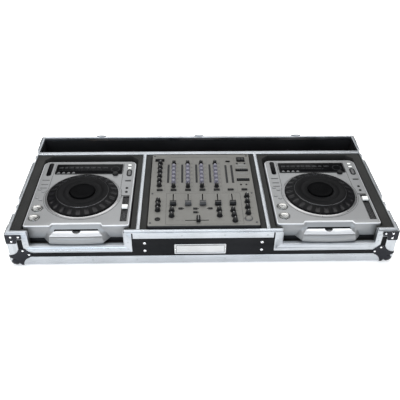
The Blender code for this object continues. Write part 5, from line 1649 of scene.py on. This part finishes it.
    # --- round metal buttons
    for word, bx, by in (("play", -126.0, -86.0), ("cue", -126.5, -131.4)):
        bm = bmesh.new()
        lathe(
            bm,
            [(14.9, 122.2), (14.9, 126.9), (14.4, 127.5), (13.7, 127.7), (13.2, 127.4), (12.8, 126.9), (10.5, 126.3), (7.0, 125.8), (3.5, 125.5), (0, 125.4)],
            at(bx, by, 0), "Z", 64, 1,
        )
        button = done(f"player_{word}_button_{label}", bm, [LIT, SPUN], CAD_BODY[f"{word}_button_{label}"], [f"{word}_button_{label}"], angle=50)
        bm = bmesh.new()
        lathe(bm, [(15.1, 122.4), (15.1, 126.2), (15.6, 126.6), (16.0, 126.2), (16.0, 122.4)], at(bx, by, 0), "Z", 64, closed=True)
        done(f"player_{word}_lens_{label}", bm, [LENS], CAD_BODY[f"{word}_button_{label}"], angle=50)
        bm = bmesh.new()
        lathe(bm, [(16.35, 123.6), (16.35, 125.0), (16.8, 125.3), (17.6, 125.1), (18.2, 124.4), (18.3, 123.9)], at(bx, by, 0), "Z", 64)
        done(f"player_{word}_ring_{label}", bm, [COLLAR], owner, angle=60)

# ------------------------------------------------------------------ mixer

MIX_TOP = 130.0
MIX_BODY = CAD_BODY["mixer_body"]
FADER_X = (-88.5, -43.0, 1.2, 47.2, 91.6)

bm = bmesh.new()
soft_box(bm, (-160.4, -250.6, 44.3), (163.9, 127.6, 128.0), 1.0)
body = done("mixer_housing", bm, [POWDER, MOULDED], MIX_BODY, ["mixer_body"])
bm = bmesh.new()
for a, b in ((-168.0, -159.7), (163.2, 171.0)):
    for k in range(8):
        y = -110 + 14 * k
        prism(bm, rounded([(y, 72), (y + 4.4, 72), (y + 4.4, 98), (y, 98)], 2.0), "YZ", a, b)
carve(body, bm, MOULDED)

bm = bmesh.new()
plate(bm, rounded([(-160.75, -251), (164.25, -251), (164.25, 128), (-160.75, 128)], 2.5, steps=5), 128.0, 130.0, 0.8, steps=4)
face_plate = done("mixer_face_plate", bm, [PANEL], MIX_BODY)
bm = bmesh.new()
for x in FADER_X:
    prism(bm, rounded([(x - 1.7, -160), (x + 1.7, -160), (x + 1.7, -98), (x - 1.7, -98)], 1.5), "XY", 120, 135)
prism(bm, rounded([(-53, -229.6), (17, -229.6), (17, -226.4), (-53, -226.4)], 1.5), "XY", 120, 135)
# the crossfader area is a let-in plate: a fine step round it
step_out = rounded([(-109.6, -246.5), (118.0, -246.5), (118.0, -94.6), (-109.6, -94.6)], 3.0)
step_in = rounded([(-108.9, -245.8), (117.3, -245.8), (117.3, -95.3), (-108.9, -95.3)], 2.4)
ring_band(bm, step_out, step_in, 129.5, 133.0)
carve(face_plate, bm, MOULDED, angle=30)
bm = bmesh.new()
for x in FADER_X:
    prism(bm, rounded([(x - 2.5, -160), (x + 2.5, -160), (x + 2.5, -98), (x - 2.5, -98)], 1.3), "XY", 121, 131)
prism(bm, rounded([(-53, -230.5), (17, -230.5), (17, -225.5), (-53, -225.5)], 1.3), "XY", 121, 131)
carve(body, bm, MOULDED)


def knob(bm, x, y, radius, height, skirt=0, cap=1, pointer=2, turn=0.0, flutes=12):
    """A fluted pot knob with a skirt and a raised pointer line."""
    lathe(bm, [(radius, 129.9), (radius, 131.4), (radius * 0.94, 132.0), (radius * 0.86, 132.2)], (x, y, 0), "Z", 36, skirt)

    def flute(t, r, h):
        return 1 - 0.055 * (0.5 + 0.5 * math.cos(flutes * t)) if 132.0 < h < 130 + height - 0.6 else 1.0

    top = 130 + height
    lathe(bm, [(radius * 0.84, 132.05), (radius * 0.82, 133.0), (radius * 0.74, top - 1.0), (radius * 0.66, top - 0.2), (radius * 0.55, top), (0, top)], (x, y, 0), "Z", 48, cap, squash=flute)
    d = Vector((math.sin(turn), math.cos(turn)))
    n = Vector((d.y, -d.x))
    a, b, w = radius * 0.12, radius * 0.70, radius * 0.085
    line = [Vector((x, y)) + d * a + n * w, Vector((x, y)) + d * b + n * w, Vector((x, y)) + d * b - n * w, Vector((x, y)) + d * a - n * w]
    prism(bm, [tuple(p) for p in line], "XY", top - 0.5, top + 0.18, pointer)
    d2 = Vector((x, y)) + d * (radius * 0.745)
    side = [d2 + n * w, d2 + n * w + d * radius * 0.2, d2 - n * w + d * radius * 0.2, d2 - n * w]
    prism(bm, [tuple(p) for p in side], "XY", 131.6, 132.35, pointer)


# tone controls: a dark trim knob over a lilac-grey column, per channel
TONE_Y = (71.0, 49.2, 27.4, 5.6, -16.2, -38.0, -59.8)
for k, x in enumerate(FADER_X[:4]):
    bm = bmesh.new()
    for n, y in enumerate(TONE_Y):
        dark = n in (0, 6)
        knob(bm, x, y, 7.7, 12.3, 0 if dark else 3, 1 if dark else 4, 2, (0.0, -0.5, 0.2, 0.6, -0.2, 0.0, 0.3)[n] + 0.15 * k)
    done(f"mixer_tone_knobs_{k + 1}", bm, [MOULDED, MOULDED, POINTER, LILAC, LILAC], MIX_BODY, angle=34)
bm = bmesh.new()
BLACK_COLUMN = (71, 46, 21, -4, -29, -54)
for y, t in zip(BLACK_COLUMN, (0.3, -0.6, 0.1, 0.9, -0.3, 0.2)):
    knob(bm, -133.5, y, 8.7, 12.4, turn=t)
OTHER_KNOBS = (
    (-134, -137), (-134, -158.5), (-134, -180), (-92, -183), (-92, -208), (49, -183), (49, -207.5), (90, -185), (91.5, -208.5), (93, -232),
    (137, -115), (136, -143), (135, -170.5), (134, -198),
)
for k, (x, y) in enumerate(OTHER_KNOBS):
    knob(bm, x, y, 8.9, 12.4, turn=(0.4, -0.4, 0.0, 0.5, -0.2, -0.5, 0.3)[k % 7])
done("mixer_black_knobs", bm, [MOULDED, MOULDED, POINTER], MIX_BODY, angle=34)

# printed dial ticks round every knob
bm = bmesh.new()
dials = [(x, y, 7.7) for x in FADER_X[:4] for y in TONE_Y]
dials += [(-133.5, y, 8.7) for y in BLACK_COLUMN]
dials += [(x, y, 8.9) for x, y in OTHER_KNOBS]
for x, y, r in dials:
    for k in range(11):
        t = math.radians(-140 + 28 * k)
        d = Vector((math.sin(t), math.cos(t)))
        n = Vector((d.y, -d.x))
        a, b, w = r + 0.9, r + (2.5 if k in (0, 5, 10) else 1.9), 0.16
        spot = Vector((x, y))
        tick = [spot + d * a + n * w, spot + d * b + n * w, spot + d * b - n * w, spot + d * a - n * w]
        before = len(bm.faces)
        prism(bm, [tuple(p) for p in tick], "XY", 129.9, 130.06)
# scale beside every fader
for x in FADER_X:
    for k in range(11):
        y = -156 + 5.2 * k
        w = 5.0 if k % 5 == 0 else 3.0
        for side in (-1, 1):
            quad_box(bm, (x + side * 9.8 - w / 2, y - 0.2, 129.9), (x + side * 9.8 + w / 2, y + 0.2, 130.06))
for k in range(11):
    x = -48 + 6.0 * k
    quad_box(bm, (x - 0.2, -243.2 if k % 5 else -244.2, 129.9), (x + 0.2, -240.4, 130.06))
for a, b in ((-80, -68), (-63, -57.5), (22, 27), (31, 42), (52, 62)):
    quad_box(bm, (a, -228.4, 129.9), (b, -227.6, 130.06))
# fine division lines beside the tone controls, between the sections and under the right-hand fields
for x in FADER_X[:4]:
    for y in TONE_Y:
        for dy in (-2.2, 0.6, 3.4):
            quad_box(bm, (x + 10.6, y + dy, 129.9), (x + 15.6, y + dy + 0.8, 130.05))
for y in BLACK_COLUMN:
    for dy in (-2.2, 1.4):
        quad_box(bm, (-120.6, y + dy, 129.9), (-116.8, y + dy + 0.8, 130.05))
for y in (110.6, 113.0, 118.6):
    quad_box(bm, (-112 if y > 118 else -100, y, 129.9), (104 if y > 118 else 92, y + 0.6, 130.05))
for y in (74.0, 54.0, 40.5, 3.0, -6.5, -38.0, -43.5):
    for k in range(6):
        quad_box(bm, (116.0 + 6.2 * k, y, 129.9), (119.6 + 6.2 * k, y + 0.9, 130.05))
for x in (-131, -88, -43, 2, 46.5, 90, 133):
    quad_box(bm, (x - 8.0, -71.6, 129.9), (x + 8.0, -70.8, 130.05))
    quad_box(bm, (x - 5.0, -68.4, 129.9), (x + 5.0, -67.8, 130.05))
for x, y in OTHER_KNOBS:
    quad_box(bm, (x + 12.2, y - 1.6, 129.9), (x + 16.4, y - 0.9, 130.05))
    quad_box(bm, (x + 12.2, y + 1.2, 129.9), (x + 15.2, y + 1.9, 130.05))
# hairlines between the channels
for x in (-115.5, -71, -25.0, 19.5, 64, 112):
    quad_box(bm, (x - 0.18, -88, 129.9), (x + 0.18, 104, 130.05))
quad_box(bm, (-150, 107.6, 129.9), (112, 108.1, 130.05))
quad_box(bm, (-150, -88.0, 129.9), (150, -87.6, 130.05))
done("mixer_scale_marks", bm, [PANEL_LINE], MIX_BODY, fix=True)

# level meters: a dark strip with fine segments
bm = bmesh.new()
for x, y0, y1 in ((-106, -38, 66), (-61, -38, 66), (-15, -38, 66), (29, -38, 66), (82, -40, 61), (101, -40, 61)):
    plate(bm, rounded([(x - 3.4, y0), (x + 3.4, y0), (x + 3.4, y1), (x - 3.4, y1)], 0.8, steps=2), 129.8, 130.9, 0.3, 0)
    steps = 15
    for k in range(steps):
        y = y0 + 3.5 + (y1 - y0 - 7) * k / (steps - 1)
        quad_box(bm, (x - 1.7, y - 2.3, 130.8), (x + 1.7, y + 2.3, 131.05), 1)
done("mixer_level_meters", bm, [MOULDED, CELL], MIX_BODY)

# selector switches along the top left, display, and the dark fields on the right
bm = bmesh.new()
soft_box(bm, (-151.0, 85.5, 129.6), (-120.5, 99, 133.2), 1.4, 3)
soft_box(bm, (121, 82, 129.6), (148.5, 107, 133.0), 1.2, 3)
for y, h in ((31, 6.0), (-24, 6.4)):
    soft_box(bm, (113.5, y - h, 129.6), (154.5, y + h, 132.4), 1.2, 3)
soft_box(bm, (83.5, 80.4, 129.6), (98.5, 85.6, 133.4), 2.0, 3)
done("mixer_dark_fields", bm, [GLOSS], MIX_BODY, angle=50)
bm = bmesh.new()
for x, y, w, h in ((129.0, 95, 4.6, 8.0), (140.5, 95, 4.6, 8.0)):
    plate(bm, pad(x, y, w, h, 0.8, 2), 132.8, 133.15, 0.1)
for y in (31.0, -24.0):
    for k in range(5):
        plate(bm, pad(119.5 + 7.2 * k, y, 2.6, 2.4, 0.5, 2), 132.2, 132.75, 0.15)
done("mixer_field_cells", bm, [CELL], MIX_BODY)
bm = bmesh.new()
for x, y, w, h in ((134, 62, 17, 1.0), (134, 13, 19, 1.0), (134, 47, 15, 0.8)):
    plate(bm, pad(x, y, w, h, 0.6, 2), 129.8, 130.7, 0.3)
done("mixer_pale_lines", bm, [SILVER], MIX_BODY)

# cue keys under each channel and small keys
bm = bmesh.new()
for x in (-131, -88, -43, 2, 46.5, 90, 133):
    soft_box(bm, (x - 9.2, -82.0, 129.6), (x + 9.2, -74.4, 133.6), 1.3, 3)
for x, y in ((-66, -172.5), (-22, -173.5), (23, -173.0), (-22, -191.0)):
    soft_box(bm, (x - 6.6, y - 4.1, 129.6), (x + 6.6, y + 4.1, 132.4), 1.2, 3)
    soft_box(bm, (x + (7.2 if x < 0 else -10.4), y - 1.1, 129.6), (x + (10.4 if x < 0 else -7.2), y + 1.1, 131.4), 0.6, 2)
for x, y in ((125, -51), (142, -51), (121, 70), (147, 70)):
    lathe(bm, [(3.0, 129.8), (3.0, 131.6), (2.4, 132.1), (0, 132.2)], (x, y, 0), "Z", 20)
done("mixer_dark_keys", bm, [MOULDED], MIX_BODY, angle=50)
bm = bmesh.new()
for x in (-131, -88, -43, 2, 46.5, 90, 133):
    plate(bm, pad(x + 12.5, -78.2, 1.1, 1.1, 0.9, 3), 129.8, 130.9, 0.4)
done("mixer_key_lamps", bm, [SHADOW_SILVER], MIX_BODY)

# white-ringed button and headphone socket
bm = bmesh.new()
lathe(bm, [(9.2, 129.7), (9.2, 131.4), (9.6, 131.9), (11.2, 131.9), (12.0, 131.2), (12.2, 129.7)], (133, -222, 0), "Z", 48, 0)
lathe(bm, [(8.8, 129.7), (8.8, 133.4), (8.2, 134.0), (6.6, 134.1), (3.0, 133.5), (0, 133.4)], (133, -222, 0), "Z", 48, 1)
done("mixer_ring_button", bm, [DARK_STEEL, PANEL], MIX_BODY, angle=50)
bm = bmesh.new()
lathe(bm, [(8.4, 129.8), (8.4, 131.2), (7.6, 131.8), (5.0, 131.8), (4.2, 131.0), (3.3, 130.3), (0, 130.3)], (-133, -222, 0), "Z", 40, 0)
done("mixer_socket", bm, [MOULDED], MIX_BODY, angle=50)

bm = bmesh.new()
for x, y in ((-153.0, -96), (154.0, -96), (-153.5, -239), (155.0, -239), (-153.0, 118), (156.0, 118)):
    cross_screw(bm, (x, y, 130.0), "Z", 3.4, 1.5)
done("mixer_screws", bm, [DARK_STEEL, MOULDED], MIX_BODY)

# rear sockets, seen when the mixer is lifted out
bm = bmesh.new()
for k in range(6):
    for z, ring in ((78, 1), (98, 2)):
        x = -118 + 34 * k
        lathe(bm, [(5.2, -0.8), (5.2, 1.6), (4.6, 1.8), (3.6, 1.8), (3.4, 1.2), (3.4, 0.2)], (x, 127.6, z), "Y", 20, ring)
        lathe(bm, [(2.6, 0.0), (2.6, 2.2), (2.2, 2.4), (1.0, 2.4), (0.9, 0.8), (0, 0.8)], (x, 127.6, z), "Y", 16, 0)
soft_box(bm, (92, 121, 66), (128, 128.0, 92), 1.2, 2, 3)
done("mixer_rear_sockets", bm, [RIVET, WHITE, LIT, MOULDED], MIX_BODY)

# faders: tall caps with a finger hollow and an index line, on black stems
FADER_Y = -152.0
for k, x in enumerate(FADER_X):
    name = f"channel_fader_{k + 1}" if k < 4 else "master_fader"
    look = CAP_GREY if k in (1, 2) else MOULDED
    bm = bmesh.new()
    side = rounded([(-8, 131.3), (8, 131.3), (8, 136.0), (5.2, 142.3), (2.6, 142.3), (1.2, 141.0), (-1.2, 141.0), (-2.6, 142.3), (-5.2, 142.3), (-8, 136.0)], [0.5, 0.5, 2.0, 1.2, 0.8, 0.5, 0.5, 0.8, 1.2, 2.0], steps=3)
    lower = [bm.verts.new((x - 9.4, FADER_Y + a, b)) for a, b in side]
    upper = [bm.verts.new((x + 9.4, FADER_Y + a, b)) for a, b in side]
    for i in range(len(side)):
        j = (i + 1) % len(side)
        bm.faces.new((lower[i], lower[j], upper[j], upper[i]))
    bm.faces.new(lower[::-1])
    bm.faces.new(upper)
    done(f"{name}_cap", bm, [look], CAD_BODY[name], [name], bevel=0.6)
    bm = bmesh.new()
    quad_box(bm, (x - 8.9, FADER_Y - 0.55, 140.9), (x + 8.9, FADER_Y + 0.55, 141.15), 1)
    soft_box(bm, (x - 1.2, FADER_Y - 3, 124.2), (x + 1.2, FADER_Y + 3, 131.6), 0.3, 1, 0)
    done(f"{name}_line_and_stem", bm, [MOULDED, FADED_INK], CAD_BODY[name])
cx, cy = -14.0, -228.0
bm = bmesh.new()
side = rounded([(-6, 131.3), (6, 131.3), (6, 136.0), (4.2, 142.3), (1.8, 142.3), (0.9, 141.2), (-0.9, 141.2), (-1.8, 142.3), (-4.2, 142.3), (-6, 136.0)], [0.5, 0.5, 2.0, 1.0, 0.6, 0.4, 0.4, 0.6, 1.0, 2.0], steps=3)
prism(bm, [(cx + a, b) for a, b in side], "XZ", cy - 10, cy + 10)
done("crossfader_cap", bm, [MOULDED], CAD_BODY["crossfader"], ["crossfader"], bevel=0.6)
bm = bmesh.new()
quad_box(bm, (cx - 0.55, cy - 9.4, 141.1), (cx + 0.55, cy + 9.4, 141.35), 1)
soft_box(bm, (cx - 3, cy - 1.2, 124.2), (cx + 3, cy + 1.2, 131.6), 0.3, 1, 0)
done("crossfader_line_and_stem", bm, [MOULDED, POINTER], CAD_BODY["crossfader"])

# ------------------------------------------------------------------ on to the floor

for piece in PIECES:
    piece.data.transform(Matrix.Translation((0.0, 0.0, RISE * MM)))

# ------------------------------------------------------------------ floor, light and camera

floor_look, tree, shader = started("studio_floor", 0.0, specular=0.1)
drift = spread(tree, grain(tree, (1, 1, 1), 1.2, 2.0), 0.3, 0.7)
tree.links.new(blend_colours(tree, drift, (0.93, 0.93, 0.93), (0.95, 0.95, 0.95)), shader.inputs["Base Color"])
shader.inputs["Roughness"].default_value = 0.9
shader.inputs["Emission Color"].default_value = (1.0, 1.0, 1.0, 1.0)
shader.inputs["Emission Strength"].default_value = 0.40
bm = bmesh.new()
bmesh.ops.create_grid(bm, x_segments=8, y_segments=8, size=9000.0)
bmesh.ops.scale(bm, vec=(MM, MM, MM), verts=bm.verts)
mesh = bpy.data.meshes.new("studio_floor")
bm.to_mesh(mesh)
bm.free()
mesh.materials.append(floor_look)
ground = bpy.data.objects.new("studio_floor", mesh)
SCENE.collection.objects.link(ground)


def softbox(name, at, look_at, size, power, tint=(1, 1, 1), spread_angle=180):
    lamp = bpy.data.lights.new(name, "AREA")
    lamp.shape = "RECTANGLE"
    lamp.size, lamp.size_y = size
    lamp.energy = power
    lamp.color = tint
    lamp.spread = math.radians(spread_angle)
    obj = bpy.data.objects.new(name, lamp)
    obj.location = at
    obj.rotation_euler = (Vector(look_at) - Vector(at)).to_track_quat("-Z", "Y").to_euler()
    SCENE.collection.objects.link(obj)
    return obj


softbox("overhead_softbox", (0.0, 0.75, 2.3), (0.0, 0.0, 0.1), (3.6, 1.5), 58.0, (1.0, 0.995, 0.98))
softbox("rear_softbox", (0.0, 4.2, 2.7), (0.0, 0.1, 0.1), (3.6, 1.8), 32.0, (0.97, 0.99, 1.0))
softbox("front_softbox", (-0.3, -3.0, 1.3), (0.0, 0.0, 0.1), (3.2, 1.4), 51.0, (0.78, 0.89, 1.0))
softbox("key_softbox", (-1.3, -1.5, 2.3), (0.0, -0.1, 0.1), (0.5, 0.5), 12.0)
softbox("left_softbox", (-2.9, -0.4, 1.3), (0.0, 0.0, 0.1), (1.6, 1.6), 11.0)
softbox("right_softbox", (2.9, 0.0, 1.3), (0.0, 0.0, 0.1), (1.6, 1.6), 13.0)
softbox("edge_softbox", (-0.05, -1.75, 2.45), (0.0, -0.15, 0.12), (3.2, 0.3), 13.0)
softbox("low_left_softbox", (-2.7, -1.6, 0.5), (-0.5, -0.2, 0.05), (0.5, 0.7), 12.0)
softbox("low_right_softbox", (2.7, -1.6, 0.5), (0.5, -0.2, 0.05), (0.5, 0.7), 12.0)

world = bpy.data.worlds.new("studio_world")
world.use_nodes = True
SCENE.world = world
tree = world.node_tree
background = tree.nodes["Background"]
background.inputs["Color"].default_value = (0.86, 0.87, 0.88, 1.0)
background.inputs["Strength"].default_value = 0.22

SCENE.view_settings.view_transform = "Standard"
SCENE.view_settings.look = "None"
SCENE.view_settings.exposure = 0.0
SCENE.view_settings.gamma = 1.0

yaw, pitch, roll = 0.0323, 0.6431, 0.0114
forward = Vector((math.sin(yaw) * math.cos(pitch), math.cos(yaw) * math.cos(pitch), -math.sin(pitch)))
rightward = Vector((math.cos(yaw), -math.sin(yaw), 0.0))
upward = rightward.cross(forward)
r = rightward * math.cos(roll) + upward * math.sin(roll)
u = -rightward * math.sin(roll) + upward * math.cos(roll)
turned = Matrix((r, u, -forward)).transposed().to_4x4()
lens = bpy.data.cameras.new("studio_camera")
lens.sensor_fit = "HORIZONTAL"
lens.sensor_width = 36.0
lens.lens = 49.693
lens.clip_start = 0.05
lens.clip_end = 60.0
camera = bpy.data.objects.new("studio_camera", lens)
camera.matrix_world = Matrix.Translation(Vector((-0.0503622, -1.4739418, 1.1439697))) @ turned
SCENE.collection.objects.link(camera)
SCENE.camera = camera
